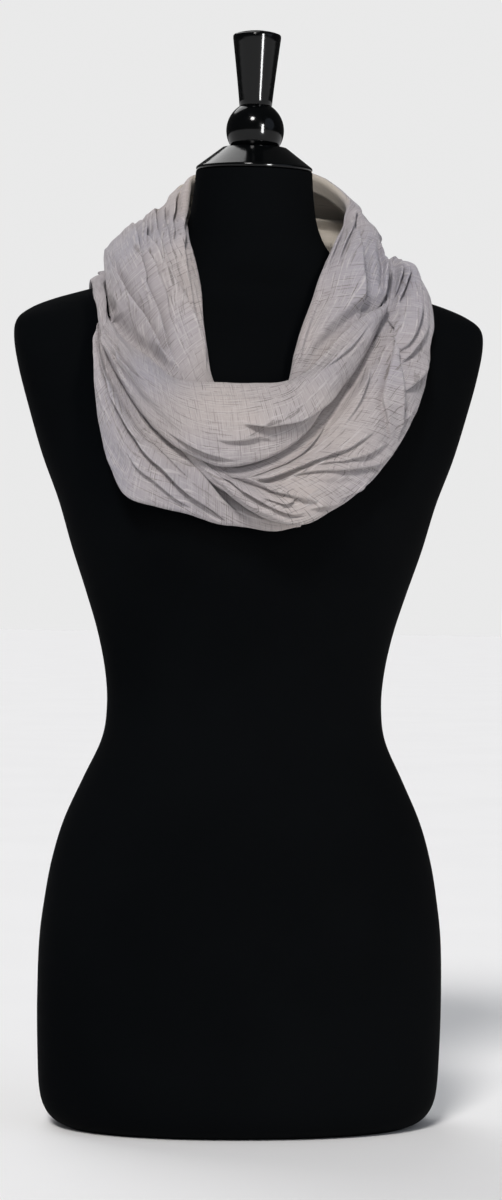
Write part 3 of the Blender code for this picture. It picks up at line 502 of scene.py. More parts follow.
def scarf_cloth(sizes):
    """Thin slubby plain weave: warm grey with darker and lighter threads both ways, painted shade on the
    scarf's sides and painted light inside the nape.
    """
    tree = NodeTree("slub_weave")
    cloth = tree.uv_place(CLOTH_MAP)
    place = tree.object_place()
    sideways = tree.part(place, 0).absolute()
    patches = tree.noise(place, 22.0, 2.0).band(0.3, 0.7)
    dark_warp, dark_weft = (threads_of(tree, cloth, sizes, way, 1.0) for way in (0, 1))
    light_warp, light_weft = (threads_of(tree, cloth, sizes, way, LIGHT_PITCH) for way in (0, 1))
    dark = (dark_warp + dark_weft).at_most(1.0) * (0.4 + 0.6 * patches)
    light = (light_warp + light_weft).at_most(1.0)
    # Random tone, plus painted shade: the cloth is painted cooler and darker the further it lies to either
    # side of the front middle.
    tone_and_side_shade = 0.5 * tree.noise(place, 9.0, 1.0).band(0.35, 0.65) + 0.5 * sideways.band(0.125, 0.03)
    colour = tree.mix(tone_and_side_shade, (*sizes.cool, 1.0), (*sizes.warm, 1.0))
    colour = tree.mix(dark * sizes.slub_contrast, colour, (*sizes.slub_dark, 1.0))
    colour = tree.mix(light * (0.6 * sizes.slub_contrast), colour, (*sizes.slub_light, 1.0))
    # Painted light: the inside of the cloth behind the neck, where it faces the neck, is painted a paler
    # beige to lift the shade that the neck casts there.
    outwards = tree.dot(tree.surface_normal(), tree.scaled(place, (1, 1, 0)))
    behind = tree.part(place, 1).band(0.01, 0.04) * sideways.band(0.115, 0.10)
    colour = tree.mix(0.8 * outwards.band(0.0, -0.03) * behind, colour, (*sizes.nape_painted_light, 1.0))
    threads = sizes.threads_per_metre * 2 * math.pi
    weave = (tree.part(cloth, 0) * threads).sine() * (tree.part(cloth, 1) * threads).sine()
    relief = weave * 0.35 + dark * 0.5 + light * 0.6
    normal = tree.bump(relief, sizes.thread_relief * MM)
    return tree.finish(Base_Color=colour, Roughness=0.92 - 0.06 * light, Normal=normal,
                       Sheen_Weight=0.12, Sheen_Roughness=0.5, Specular_IOR_Level=0.15)


def form_jersey(sizes):
    """Black knitted cover: very fine ribs that go round, with a little lint-grey unevenness."""
    tree = NodeTree("black_jersey")
    place = tree.object_place()
    knit = tree.noise(tree.scaled(place, (900.0, 900.0, 1500.0)), 1.0, 2.0)
    cloudy = tree.noise(place, 6.0, 3.0).band(0.35, 0.7)
    colour = tree.mix(cloudy, (*sizes.jersey_dark, 1.0), (*sizes.jersey_light, 1.0))
    normal = tree.bump(knit, 0.00025, 0.6)
    return tree.finish(Base_Color=colour, Roughness=0.86 + 0.08 * knit, Normal=normal,
                       Specular_IOR_Level=0.03)


def cap_lacquer(sizes):
    """Black gloss lacquer on turned wood, with the lathe's faint rings and a slight orange peel."""
    tree = NodeTree("black_lacquer")
    place = tree.object_place()
    peel = tree.noise(place, 260.0, 2.0)
    rings = tree.noise(tree.scaled(place, (6.0, 6.0, 420.0)), 1.0, 1.0)
    wear = tree.noise(place, 60.0, 3.0).band(0.62, 0.8)
    colour = tree.mix(wear, (*sizes.lacquer, 1.0), (*sizes.lacquer_worn, 1.0))
    normal = tree.bump(peel * 0.7 + rings * 0.3, 0.00006)
    return tree.finish(Base_Color=colour, Roughness=0.12 + 0.12 * wear, Normal=normal,
                       Specular_IOR_Level=0.22, Coat_Weight=0.08, Coat_Roughness=0.06)


def floor_paint(sizes):
    """Plain pale matt floor and backdrop."""
    tree = NodeTree("pale_floor")
    place = tree.object_place()
    mottle = tree.noise(place, 3.0, 2.0).band(0.3, 0.7)
    darker = [part * 0.985 for part in sizes.floor]
    colour = tree.mix(mottle, (*sizes.floor, 1.0), (*darker, 1.0))
    return tree.finish(Base_Color=colour, Roughness=0.8, Specular_IOR_Level=0.1)


def smooth_through(rows, at):
    """The rows' numbers at places between them, on a Catmull-Rom curve through the rows."""
    rows = np.asarray(rows, float)
    rows = np.concatenate([[2 * rows[0] - rows[1]], rows, [2 * rows[-1] - rows[-2]]])
    at = np.clip(np.asarray(at, float), 0.0, len(rows) - 3.0)
    first = np.minimum(at.astype(int), len(rows) - 4)
    t = (at - first)[:, None]
    before, a, b, after = (rows[first + i] for i in range(4))
    return (
        a
        + 0.5 * t * (b - before)
        + t * t * (before - 2.5 * a + 2 * b - 0.5 * after)
        + t**3 * (-0.5 * before + 1.5 * a - 1.5 * b + 0.5 * after)
    )


def smoothstep(x):
    x = np.clip(x, 0.0, 1.0)
    return x * x * (3 - 2 * x)


def unit(vectors):
    return vectors / np.maximum(np.linalg.norm(vectors, axis=-1, keepdims=True), 1e-9)


# The dress form.

LEVEL_STEPS = np.linspace(0, len(FORM_LEVELS) - 1, 400)
LEVEL_SAMPLES = smooth_through(FORM_LEVELS, LEVEL_STEPS)


def level_at(height):
    """The form's level at heights in millimetres."""
    return [np.interp(height, LEVEL_SAMPLES[:, 0], LEVEL_SAMPLES[:, i]) for i in range(1, 6)]


def form_radius(bearing, height):
    """Distance from the form's centre line to its surface, at a bearing of 0 for +X, in mm."""
    half_width, front, back, _, squareness = level_at(height)
    depth = np.where(np.sin(bearing) > 0, back, front)
    across, along = np.abs(np.cos(bearing)) / half_width, np.abs(np.sin(bearing)) / depth
    radius = (across**squareness + along**squareness) ** (-1 / squareness)
    side = np.abs(radius * np.cos(bearing)) - BUST_SIDE
    rise = height - BUST_HEIGHT
    bust = BUST_DEPTH * np.exp(-(side**2 + rise**2) / BUST_REACH**2)
    return radius + np.where(np.sin(bearing) < 0, bust * smoothstep(-4 * np.sin(bearing)), 0.0)


def outside_form(points):
    """How far points are outside the form, measured level, in mm; negative inside."""
    x, y, z = points[..., 0], points[..., 1], points[..., 2]
    forward = level_at(z)[3]
    return np.hypot(x, y + forward) - form_radius(np.arctan2(y + forward, x), z)


def clear_of_form(points, clearance):
    """The points, moved out along the form's slope where they are nearer to it than that."""
    points = np.array(points, float)
    step = 0.5
    for _ in range(3):
        gap = outside_form(points)
        slope = np.stack([(outside_form(points + step * axis) - gap) / step for axis in np.eye(3)], -1)
        size = np.maximum(np.linalg.norm(slope, axis=-1), 0.5)
        short = np.clip(clearance - gap / size, 0.0, None)
        points += slope / size[..., None] * short[..., None]
    return points


def neck_slope(height):
    """How much a level rises towards the back: the neck's top leans forwards."""
    share = (height - NECK_LEAN_FOOT) / (FORM_LEVELS[-1].height - NECK_LEAN_FOOT)
    return math.tan(math.radians(NECK_LEAN)) * np.clip(share, 0.0, 1.0)


def finished(name, mesh, sharp_angle=None):
    """A new object from a bmesh, shaded smooth, but for edges past an angle in degrees."""
    data = bpy.data.meshes.new(name)
    mesh.to_mesh(data)
    mesh.free()
    data.shade_smooth()
    if sharp_angle is not None:
        data.set_sharp_from_angle(angle=math.radians(sharp_angle))
    thing = bpy.data.objects.new(name, data)
    bpy.context.scene.collection.objects.link(thing)
    return thing


def grid_object(name, points):
    """An open sheet through rows of points, in millimetres."""
    rows, columns = points.shape[:2]
    mesh = bmesh.new()
    bmesh.ops.create_grid(mesh, x_segments=rows - 1, y_segments=columns - 1, size=1.0)
    for vert in mesh.verts:
        i = round((vert.co.x + 1) / 2 * (rows - 1))
        j = round((vert.co.y + 1) / 2 * (columns - 1))
        vert.co = points[i, j] * MM
    return finished(name, mesh)


def put_together(thing, material, replaced):
    """Gives a piece its material and slot, hangs it from the root and hides the nodes of the frame that it
    stands for.
    """
    thing.data.materials.append(material)
    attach(thing, "root")
    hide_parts(*replaced)
    return thing


def build_form(sizes):
    """The torso and neck, as rings joined into one skin with a flat underside and top."""
    heights = LEVEL_SAMPLES[:: max(1, len(LEVEL_SAMPLES) // sizes.rings), 0]
    heights = np.append(heights, LEVEL_SAMPLES[-1, 0])
    mesh = bmesh.new()
    loops = []
    for height in heights:
        ring = bmesh.ops.create_circle(mesh, cap_ends=False, segments=sizes.sides, radius=1.0)["verts"]
        bearings = np.array([math.atan2(vert.co.y, vert.co.x) for vert in ring])
        radii = form_radius(bearings, np.full(len(bearings), height))
        forward = level_at(height)[3]
        slope = neck_slope(height)
        for vert, bearing, radius in zip(ring, bearings, radii):
            along = radius * math.sin(bearing)
            place = Vector((radius * math.cos(bearing), along - forward, height + along * slope))
            vert.co = place * MM
        loops.append({edge for vert in ring for edge in vert.link_edges})
    for low, high in zip(loops, loops[1:]):
        bmesh.ops.bridge_loops(mesh, edges=list(low | high))
    for end in (loops[0], loops[-1]):
        bmesh.ops.contextual_create(mesh, geom=list(end))
    bmesh.ops.recalc_face_normals(mesh, faces=mesh.faces)
    return finished("form_body", mesh, sharp_angle=50)


# The turned neck cap.


def spun(name, profile, sizes):
    """A solid spun about the cap's leaning axis from (radius, height) points, top first."""
    mesh = bmesh.new()
    verts = [mesh.verts.new((radius * MM, 0, height * MM)) for radius, height in profile]
    edges = [mesh.edges.new(pair) for pair in zip(verts, verts[1:])]
    bmesh.ops.spin(mesh, geom=verts + edges, axis=(0, 0, 1), cent=(0, 0, 0), angle=2 * math.pi,
                   steps=sizes.turning_steps, use_merge=True)
    bmesh.ops.remove_doubles(mesh, verts=mesh.verts, dist=1e-6)
    bmesh.ops.recalc_face_normals(mesh, faces=mesh.faces)
    top = FORM_LEVELS[-1]
    lean = Matrix.Rotation(math.radians(NECK_LEAN), 4, "X")
    place = Matrix.Translation((0, -top.forward * MM, (top.height + NODE_GAP) * MM))
    bmesh.ops.transform(mesh, matrix=place @ lean, verts=mesh.verts)
    return finished(name, mesh, sharp_angle=60)


def arc(centre, radius, first, last, steps):
    """(radius, height) points on a circle about (radius, height) centre, between two angles."""
    angles = [math.radians(first + (last - first) * i / steps) for i in range(steps + 1)]
    return [(centre[0] + radius * math.cos(a), centre[1] + radius * math.sin(a)) for a in angles]


PLATE_SHOULDER = 2.4
KNOB_EDGE = 2.2
DOME_STEPS = (0.0, 0.15, 0.3, 0.45, 0.6, 0.7, 0.8)


def plate_profile(sizes):
    """The sloping plate: a rounded shoulder at the top and a rounded rim with a lip below it."""
    rim = sizes.plate_rim / 2
    rise, run = sizes.plate_height - sizes.plate_rim, sizes.plate_radius - sizes.plate_top
    slope = math.degrees(math.atan2(rise, run))
    shoulder = (sizes.plate_top - PLATE_SHOULDER * 0.6, sizes.plate_height - PLATE_SHOULDER)
    return (
        [(0, sizes.plate_height)]
        + arc(shoulder, PLATE_SHOULDER, 90, 90 - slope, 5)
        + arc((sizes.plate_radius - rim, rim), rim, 90 - slope * 0.8, -80, 9)
        + [(sizes.plate_radius - 2 * rim, 0), (0, 0)]
    )


def finial_profile(sizes):
    """Ball and flared knob in one turning, with a fine groove where they meet."""
    seat = sizes.plate_height + NODE_GAP
    ball = seat + sizes.ball_rise
    foot_angle = math.degrees(math.acos(sizes.finial_foot / sizes.ball_radius))
    seat_angle = -math.degrees(math.asin(sizes.ball_rise / sizes.ball_radius))
    foot = ball + sizes.ball_radius * math.sin(math.radians(foot_angle))
    crown = foot + sizes.finial_height
    flare = []
    for t in np.linspace(1, 0, 15):
        radius = sizes.finial_foot + (sizes.finial_top - sizes.finial_foot) * t**1.1
        flare.append((radius, foot + 0.8 + (crown - foot - 7.5) * t))
    dome = [(r * sizes.finial_top, crown - sizes.finial_dome * r * r) for r in DOME_STEPS]
    edge = (sizes.finial_top - KNOB_EDGE, crown - sizes.finial_dome - KNOB_EDGE + 0.4)
    return (
        dome
        + arc(edge, KNOB_EDGE, 75, -10, 6)
        + flare
        + [(sizes.finial_foot - 0.7, foot + 0.4)]
        + arc((0, ball), sizes.ball_radius, foot_angle, seat_angle, 28)
        + [(0, seat)]
    )


# The scarf.


def fold_track(fold, stations):
    """(place across, depth) of a fold at each station; the depth is 0 past its ends."""
    numbers = [knot[0] for knot in fold.knots]
    nearest = np.interp(stations, numbers, range(len(numbers)))
    track = smooth_through([knot[1:] for knot in fold.knots], nearest)
    inside = (stations > numbers[0]) & (stations < numbers[-1])
    return track[:, 0], np.where(inside, np.clip(track[:, 1], 0.0, None), 0.0)


def wave(x, y, seed):
    """Smooth noise from -1 to 1 at a place, in cells of one."""
    return noise.noise(Vector((x, y, seed * 7.31)))


def unevenness(travelled, seed, size):
    """A slow random wander along a fold."""
    return np.array([wave(distance / size, seed * 3.7, seed) for distance in travelled])


def distance_along(sections, at):
    """How far section numbers are along the cloth from its first section, in mm."""
    samples = np.linspace(0, len(sections) - 1, SECTION_SAMPLES * len(sections))
    rows = smooth_through(sections, samples)
    middles = (rows[:, 0:3] + rows[:, 3:6]) / 2
    travelled = np.concatenate([[0.0], np.cumsum(np.linalg.norm(np.diff(middles, axis=0), axis=1))])
    return np.interp(at, samples, travelled)


def section_frames(sections, at):
    """Upper edges, directions down and outwards, lengths and rows of sections."""
    row = smooth_through(sections, at)
    ahead = smooth_through(sections, at + HEADING_STEP)
    behind = smooth_through(sections, at - HEADING_STEP)
    top, low = row[:, 0:3], row[:, 3:6]
    travel = (ahead[:, 0:3] + ahead[:, 3:6]) - (behind[:, 0:3] + behind[:, 3:6])
    length = np.linalg.norm(low - top, axis=1)
    down = unit(low - top)
    out = unit(np.cross(travel, down))
    return top, down, out, length, row


def lip_radius(length):
    return np.minimum(LIP_RADIUS, np.maximum(LIP_SHARE * length, LEAST_LIP))


def rolled_edge(roll, slope, radius, tail):
    """Steps (away from the face, inwards) of edges: an arc that turns over, then its tail."""
    start = np.arctan(slope)
    turn = math.pi * roll - start
    kept = FLAT_SHARE + (1 - FLAT_SHARE) * roll
    arc_length = np.maximum(radius * (math.pi - start), 0.0) * kept
    place = np.zeros((len(roll), 2))
    steps = []
    for i in range(LIP_CELLS):
        heading = start + turn * (i + 0.5) / LIP_CELLS
        place = place + (arc_length / LIP_CELLS)[:, None] * np.stack([np.cos(heading), np.sin(heading)], 1)
        steps.append(place)
    heading = start + turn
    tail_step = (tail * kept / TAIL_CELLS)[:, None]
    for _ in range(TAIL_CELLS):
        place = place + tail_step * np.stack([np.cos(heading), np.sin(heading)], 1)
        steps.append(place)
    return steps


def base_grid(wrap, at, cells):
    """The wrap without its folds: points, and each column's place across (below 0 and above 1
    on the turned edges), the rolls of its edges and the cloth's width there."""
    top, down, out, length, row = section_frames(wrap.sections, at)
    crown = row[:, 6]
    top_roll, low_roll = np.clip(row[:, 7], 0, 1), np.clip(row[:, 8], 0, 1)
    lip = lip_radius(length)
    tail = np.minimum(TAIL_LENGTH, TAIL_SHARE * length)
    start, end = lip * top_roll, length - lip * low_roll
    span = end - start
    sunk_top, sunk_low = (TUCK + lip) * (1 - top_roll), (TUCK + lip) * (1 - low_roll)
    columns = []
    for j in range(cells + 1):
        across = j / cells
        rise = crown * (1 - (2 * across - 1) ** 2) - sunk_top * (1 - across) ** 2 - sunk_low * across**2
        columns.append((start + across * span, lip + rise, across))
    upper = []
    for k, place in enumerate(rolled_edge(top_roll, (4 * crown + 2 * sunk_top) / span, lip, tail)):
        upper.append((columns[0][0] - place[:, 0], columns[0][1] - place[:, 1], -(k + 1) / cells))
    lower = []
    for k, place in enumerate(rolled_edge(low_roll, (4 * crown + 2 * sunk_low) / span, lip, tail)):
        lower.append((columns[-1][0] + place[:, 0], columns[-1][1] - place[:, 1], 1 + (k + 1) / cells))
    profile = upper[::-1] + columns + lower
    points = np.stack([top + down * a[:, None] + out * h[:, None] for a, h, _ in profile], 1)
    places = np.array([across for _, _, across in profile])
    beyond = np.stack([np.clip((a - start) / span, 0, 1) for a, _, _ in profile], 1)
    return points, places, beyond, top_roll, low_roll, span


def floor_of(wrap):
    """The surface under a wrap that whatever it covers has to stay below."""
    across = 6
    along = 4 * math.ceil(wrap.last - wrap.first)
    at = np.linspace(wrap.first, wrap.last, along + 1)
    top, down, out, length, _ = section_frames(wrap.sections, at)
    lip = lip_radius(length)
    points, faces = [], []
    for i in range(along + 1):
        for j in range(across + 1):
            depth = lip[i] + FRAME_WALL + NODE_GAP
            points.append(top[i] + down[i] * (length[i] * j / across) - out[i] * depth)
    for i in range(along):
        for j in range(across):
            corner = i * (across + 1) + j
            faces.append((corner, corner + across + 1, corner + across + 2, corner + 1))
    return BVHTree.FromPolygons([tuple(point) for point in points], faces)


def cover_moves(points, at, covers, floors):
    """The moves that take the cloth's points below the wraps that cover them."""
    moves = np.zeros_like(points)
    for cover in covers:
        held = np.clip(np.minimum(at - cover.first, cover.last - at) + 1, 0.0, 1.0)
        floor = floors[cover.name]
        for i in np.nonzero(held)[0]:
            for j in range(points.shape[1]):
                place = points[i, j] + moves[i, j]
                nearest, normal, _, _ = floor.find_nearest(Vector(place), COVER_SEARCH)
                if nearest is None:
                    continue
                delta = place - np.array(nearest)
                height = delta @ np.array(normal)
                if height <= 0:
                    continue
                beside = math.sqrt(max(delta @ delta - height * height, 0.0))
                near = min(max((COVER_REACH - beside) / (COVER_REACH - COVER_MARGIN), 0.0), 1.0)
                moves[i, j] -= np.array(normal) * (height * near * near * (3 - 2 * near) * held[i])
    return moves


def shaped(points):
    """The directions across and outwards, and the distance across, at each point of a grid."""
    across = np.gradient(points, axis=1)
    along = np.gradient(points, axis=0)
    out = unit(np.cross(along, across))
    steps = np.linalg.norm(np.diff(points, axis=1), axis=2)
    distance = np.concatenate([np.zeros((len(points), 1)), np.cumsum(steps, axis=1)], axis=1)
    return unit(across), out, distance


def hump(x, deep, shape, side):
    """A soft ridge beside a lap: its shape is (share of the lap's depth, place, width)."""
    share, place, width = shape
    return share * deep * np.exp(-0.5 * ((x - side * place) / width) ** 2)


def folded(wrap, points, at, places, span, sizes):
    """The grid with its listed folds and its slight wrinkles."""
    across, out, distance = shaped(points)
    travelled = distance_along(wrap.sections, at)
    shift_down = np.zeros(distance.shape)
    shift_out = np.zeros(distance.shape)
    for number, fold in enumerate(wrap.folds):
        place, depth = fold_track(fold, at)
        if depth.max() <= 0:
            continue
        seed = wrap.seed + number
        depth = depth * (1 + sizes.fold_unevenness * unevenness(travelled, seed, DEPTH_WANDER))
        depth = np.minimum(depth, sizes.fold_limit * span)
        line = np.array([np.interp(p, places, d) for p, d in zip(place, distance)])
        line = line + LINE_WANDER_REACH * unevenness(travelled, seed + 50, LINE_WANDER)
        full = depth / max(depth.max(), 1e-6)
        width = sizes.fold_width * fold.width * (END_WIDTH + (1 - END_WIDTH) * full)
        x = (distance - line[:, None]) / width[:, None]
        deep = depth[:, None]
        if fold.lap in (1, -1):
            swing = -x * np.exp(0.5 - 0.5 * x * x) * deep
            shift_down += sizes.lap_reach * swing
            shift_out += fold.lap * sizes.lap_height * swing
            shift_out += hump(x, deep, LAP_RIDGE, -fold.lap)
            shift_out -= hump(x, deep, LAP_HOLLOW, fold.lap)
        elif fold.lap == 0:
            shift_out -= deep * np.exp(-0.5 * x * x)
        else:
            shift_out += deep * np.exp(-0.5 * x * x)
    shift_out += wrinkles(wrap, travelled, distance, sizes)
    edge = np.minimum(places, 1 - places)
    fade = smoothstep((edge + 0.08) / 0.10)[None, :]
    return points + (across * shift_down[..., None] + out * shift_out[..., None]) * fade[..., None]


def wrinkles(wrap, travelled, distance, sizes):
    """Long soft furrows that run with the wrap, and finer crumples, in mm."""
    seed = wrap.seed
    relief = np.zeros(distance.shape)
    for i, u in enumerate(travelled):
        for j, v in enumerate(distance[i]):
            along = u / sizes.furrow_length
            soft = wave(along, v / sizes.furrow_width + 0.4 * along, seed)
            fine = wave(u / sizes.crumple_length, v / sizes.crumple_width, seed + 5)
            slanted = v / CREASE_WIDTH - u / CREASE_SLANT
            sharp = 1 - abs(wave(u / CREASE_LENGTH, slanted, seed + 9)) * 2
            relief[i, j] = (sizes.furrow_depth * soft + sizes.crumple_depth * fine
                            + sizes.crease_depth * max(sharp, 0.0) ** 3)
    return relief


def stations_of(wrap):
    """Section numbers at even distances along the wrap."""
    steps = SECTION_SAMPLES * math.ceil(wrap.last - wrap.first)
    samples = np.linspace(wrap.first, wrap.last, steps + 1)
    travelled = distance_along(wrap.sections, samples)
    return np.interp(np.linspace(travelled[0], travelled[-1], wrap.cells + 1), travelled, samples)


def wrap_points(wrap, floors, sizes):
    """The wrap's outer surface, and each point's distance across the cloth without its folds."""
    at = stations_of(wrap)
    points, places, beyond, top_roll, low_roll, span = base_grid(wrap, at, sizes.cells_across)
    flat_across = shaped(points)[2]
    points = folded(wrap, points, at, places, span, sizes)
    moves = cover_moves(points, at, wrap.covers, floors)
    first_face = LIP_CELLS + TAIL_CELLS
    turned = moves.copy()
    for j in list(range(first_face)) + list(range(first_face + sizes.cells_across + 1, points.shape[1])):
        partner = first_face + np.rint(beyond[:, j] * sizes.cells_across).astype(int)
        roll = (top_roll if j < first_face else low_roll)[:, None]
        turned[:, j] = roll * moves[np.arange(len(at)), partner] + (1 - roll) * moves[:, j]
    column = np.arange(points.shape[1])
    roll_of = np.where(column < len(column) / 2, top_roll[:, None], low_roll[:, None])
    is_tail = np.minimum(column, column[::-1]) < TAIL_CELLS + 1
    clearance = RESTING_GAP + sizes.cloth_wall * (1 - roll_of * is_tail)
    return clear_of_form(points + turned, clearance), flat_across


def add_cloth_map(thing, points, flat_across):
    """A UV map in metres of cloth: along the wrap, and across it."""
    rows, columns = points.shape[:2]
    middle = points.mean(1)
    along = np.concatenate([[0.0], np.cumsum(np.linalg.norm(np.diff(middle, axis=0), axis=1))])
    across = flat_across - flat_across[:, [columns // 2]]
    layer = thing.data.uv_layers.new(name=CLOTH_MAP)
    place = np.zeros(len(thing.data.vertices) * 3)
    thing.data.vertices.foreach_get("co", place)
    order = {tuple(np.round(p, 7)): i for i, p in enumerate(place.reshape(-1, 3))}
    values = np.zeros((len(thing.data.vertices), 2))
    for i in range(rows):
        for j in range(columns):
            index = order.get(tuple(np.round(np.float32(points[i, j] * MM).astype(float), 7)))
            if index is not None:
                values[index] = (along[i] * MM, across[i, j] * MM)
    corners = np.zeros(len(thing.data.loops), int)
    thing.data.loops.foreach_get("vertex_index", corners)
    layer.data.foreach_set("uv", values[corners].ravel())


def build_wrap(wrap, floors, sizes, material):
    """One stretch of the scarf, as a sheet with its own thickness."""
    points, flat_across = wrap_points(wrap, floors, sizes)
    cloth = grid_object(wrap.name, points)
    add_cloth_map(cloth, points, flat_across)
    wall = cloth.modifiers.new("cloth_wall", "SOLIDIFY")
    wall.thickness = sizes.cloth_wall * MM
    wall.offset = -1.0
    return put_together(cloth, material, wrap.replaces)


# The settings that a user would change.


def amount(name, text, default):
    return bpy.props.FloatProperty(name=name, description=text, default=default, min=0.0)


def whole_number(name, text, default):
    return bpy.props.IntProperty(name=name, description=text, default=default, min=1)


def degrees(name, text, default):
    return bpy.props.FloatProperty(name=name, description=text, default=math.radians(default),
                                   subtype="ANGLE")


def metres(name, text, default):
    return bpy.props.FloatProperty(name=name, description=text, default=default, unit="LENGTH")


def paint(name, text, default):
    return bpy.props.FloatVectorProperty(name=name, description=text, default=default,
                                         subtype="COLOR")


class ClothSizes(bpy.types.PropertyGroup):
    cloth_wall: amount("Cloth", "Thickness of the cloth, mm", 0.8)
    cells_across: whole_number("Cells across", "Cells from edge to edge of a wrap", 96)
    lap_reach: amount("Lap reach", "How far a fold laps over, for each mm of its depth", 0.64)
    lap_height: amount("Lap height", "How high a fold stands, for each mm of its depth", 0.58)
    fold_width: amount("Fold width", "How wide a fold is, for each mm of its row's width", 0.8)
    fold_unevenness: amount("Unevenness", "How much a fold's depth wanders along it", 0.30)
    fold_limit: amount("Fold limit", "Deepest a fold gets, for each mm of the wrap's width", 0.12)
    furrow_depth: amount("Furrow depth", "Depth of the long soft furrows, mm", 1.3)
    furrow_length: amount("Furrow length", "Length of the furrows, mm", 85.0)
    furrow_width: amount("Furrow width", "Width of the furrows, mm", 12.0)
    crumple_depth: amount("Crumple depth", "Depth of the fine crumples, mm", 0.35)
    crumple_length: amount("Crumple length", "Length of the crumples, mm", 24.0)
    crumple_width: amount("Crumple width", "Width of the crumples, mm", 5.0)
    crease_depth: amount("Crease depth", "Height of the slight sharp creases, mm", 0.6)
    slub_fineness: amount("Slub fineness", "Slubs for each metre of cloth", 900.0)
    slub_length: amount("Slub length", "How many times longer than wide a slub is", 16.0)
    slub_contrast: amount("Slub contrast", "How strongly the slubs stand out", 1.0)
    threads_per_metre: amount("Threads", "Threads for each metre of cloth", 1500.0)
    thread_relief: amount("Thread relief", "Height of the threads, mm", 0.18)
    # Besides random tone, the cool grey paints shade on the scarf's sides and the warm grey paints light
    # on its front middle.
    cool: paint("Cool grey", "Ground colour in its cooler parts", (0.318, 0.306, 0.350))
    warm: paint("Warm grey", "Ground colour in its warmer parts", (0.465, 0.412, 0.390))
    # Painted light: a pale beige that lifts the shaded inside of the cloth behind the neck.
    nape_painted_light: paint("Wrong side", "Colour of the cloth's wrong side", (0.50, 0.45, 0.375))
    slub_dark: paint("Dark slub", "Colour of the darker threads", (0.20, 0.18, 0.176))
    slub_light: paint("Light slub", "Colour of the lighter threads", (0.56, 0.525, 0.52))


class FormSizes(bpy.types.PropertyGroup):
    sides: whole_number("Sides", "Sides of each ring of the form", 144)
    rings: whole_number("Rings", "Rings from the underside to the neck", 134)
    jersey_dark: paint("Jersey", "The jersey's black", (0.0008, 0.0012, 0.0017))
    jersey_light: paint("Jersey, lighter", "The jersey's paler patches", (0.0014, 0.0019, 0.0025))


class CapSizes(bpy.types.PropertyGroup):
    turning_steps: whole_number("Turning steps", "Sides of the turned pieces", 96)
    plate_radius: amount("Plate radius", "Radius of the plate at its rim, mm", 51.0)
    plate_top: amount("Plate top", "Radius of the plate's flat top, mm", 28.5)
    plate_rim: amount("Plate rim", "Height of the plate's rim, mm", 4.5)
    plate_height: amount("Plate height", "Height of the plate, mm", 21.0)
    ball_radius: amount("Ball radius", "Radius of the ball, mm", 25.3)
    ball_rise: amount("Ball rise", "Height of the ball's centre over the plate, mm", 14.5)
    finial_foot: amount("Knob foot", "Radius of the knob where it leaves the ball, mm", 14.3)
    finial_top: amount("Knob top", "Radius of the knob at its top, mm", 21.0)
    finial_height: amount("Knob height", "Height of the knob over the ball, mm", 66.0)
    finial_dome: amount("Knob dome", "Rise of the knob's domed top, mm", 3.5)
    lacquer: paint("Lacquer", "The lacquer's black", (0.0015, 0.0018, 0.002))
    lacquer_worn: paint("Lacquer, worn", "The lacquer where it is dulled", (0.003, 0.0034, 0.0038))


class StageSizes(bpy.types.PropertyGroup):
    azimuth: degrees("Azimuth", "Side that the camera looks from", -7.0)
    roll: degrees("Roll", "Turn of the camera, clockwise", 0.9)
    distance: metres("Distance", "Camera to the form's centre line", 2.70)
    height: metres("Height", "Camera's height over the floor", 0.46)
    lens: amount("Lens", "Focal length for a 36 mm frame, mm", 92.04)
    shift: amount("Shift", "Sideways shift of the frame", 0.0042)
    floor: paint("Floor", "Colour of the floor and backdrop", (0.90, 0.90, 0.90))
    light: amount("Light", "Strength of the lights", 1.0)
    air: amount("Air", "Strength of the light from all round", 0.30)
    backdrop: amount("Backdrop", "Brightness of the backdrop", 0.82)
    mirrored: amount("Mirrored", "Brightness of the air in the gloss", 0.05)
    strip: amount("Strip", "Power of the strip that the gloss shows, W", 170.0)


# The operators, one for each piece or group of like pieces.


class SCARF_OT_form(bpy.types.Operator):
    """Build the dress form's torso and neck"""

    bl_idname = "scarf.form"
    bl_label = "Dress form"

    def execute(self, context):
        sizes = context.scene.scarf_form
        form = build_form(sizes)
        put_together(form, form_jersey(sizes), ("dress_form",))
        return {"FINISHED"}


class SCARF_OT_cap(bpy.types.Operator):
    """Turn the neck cap's plate and knob"""

    bl_idname = "scarf.cap"
    bl_label = "Neck cap"

    def execute(self, context):
        sizes = context.scene.scarf_cap
        lacquer = cap_lacquer(sizes)
        plate = spun("cap_plate", plate_profile(sizes), sizes)
        put_together(plate, lacquer, ("neck_plate",))
        knob = spun("cap_knob", finial_profile(sizes), sizes)
        put_together(knob, lacquer, ("finial",))
        return {"FINISHED"}


class SCARF_OT_wraps(bpy.types.Operator):
    """Wind the scarf round the form"""

    bl_idname = "scarf.wraps"
    bl_label = "Scarf"

    def execute(self, context):
        sizes = context.scene.scarf_cloth
        cloth = scarf_cloth(sizes)
        floors = {wrap.name: floor_of(wrap) for wrap in WRAPS}
        for wrap in WRAPS:
            piece = build_wrap(wrap, floors, sizes, cloth)
        return {"FINISHED"}


# The lights: strength, side it shines from, height over the floor and width, in degrees, and
# colour. The strip is a tall narrow light behind the camera, which shows as a line in the gloss.
Sun = namedtuple("Sun", "name power azimuth elevation width colour")
SUNS = (
    Sun("key", 2.25, -20, 41, 13, (1.0, 0.975, 0.955)),
    Sun("fill", 0.2, 55, 20, 40, (0.72, 0.82, 1.0)),
    Sun("back", 0.85, 200, 50, 40, (1.0, 1.0, 1.0)),
)
AIR_COLOUR = (0.93, 0.95, 1.0, 1.0)
STRIP_PLACE = (1.23, -2.95, 0.95)
STRIP_TURN = 22.6
STRIP_WIDTH = 0.45
STRIP_HEIGHT = 1.9
SENSOR_WIDTH = 36.0


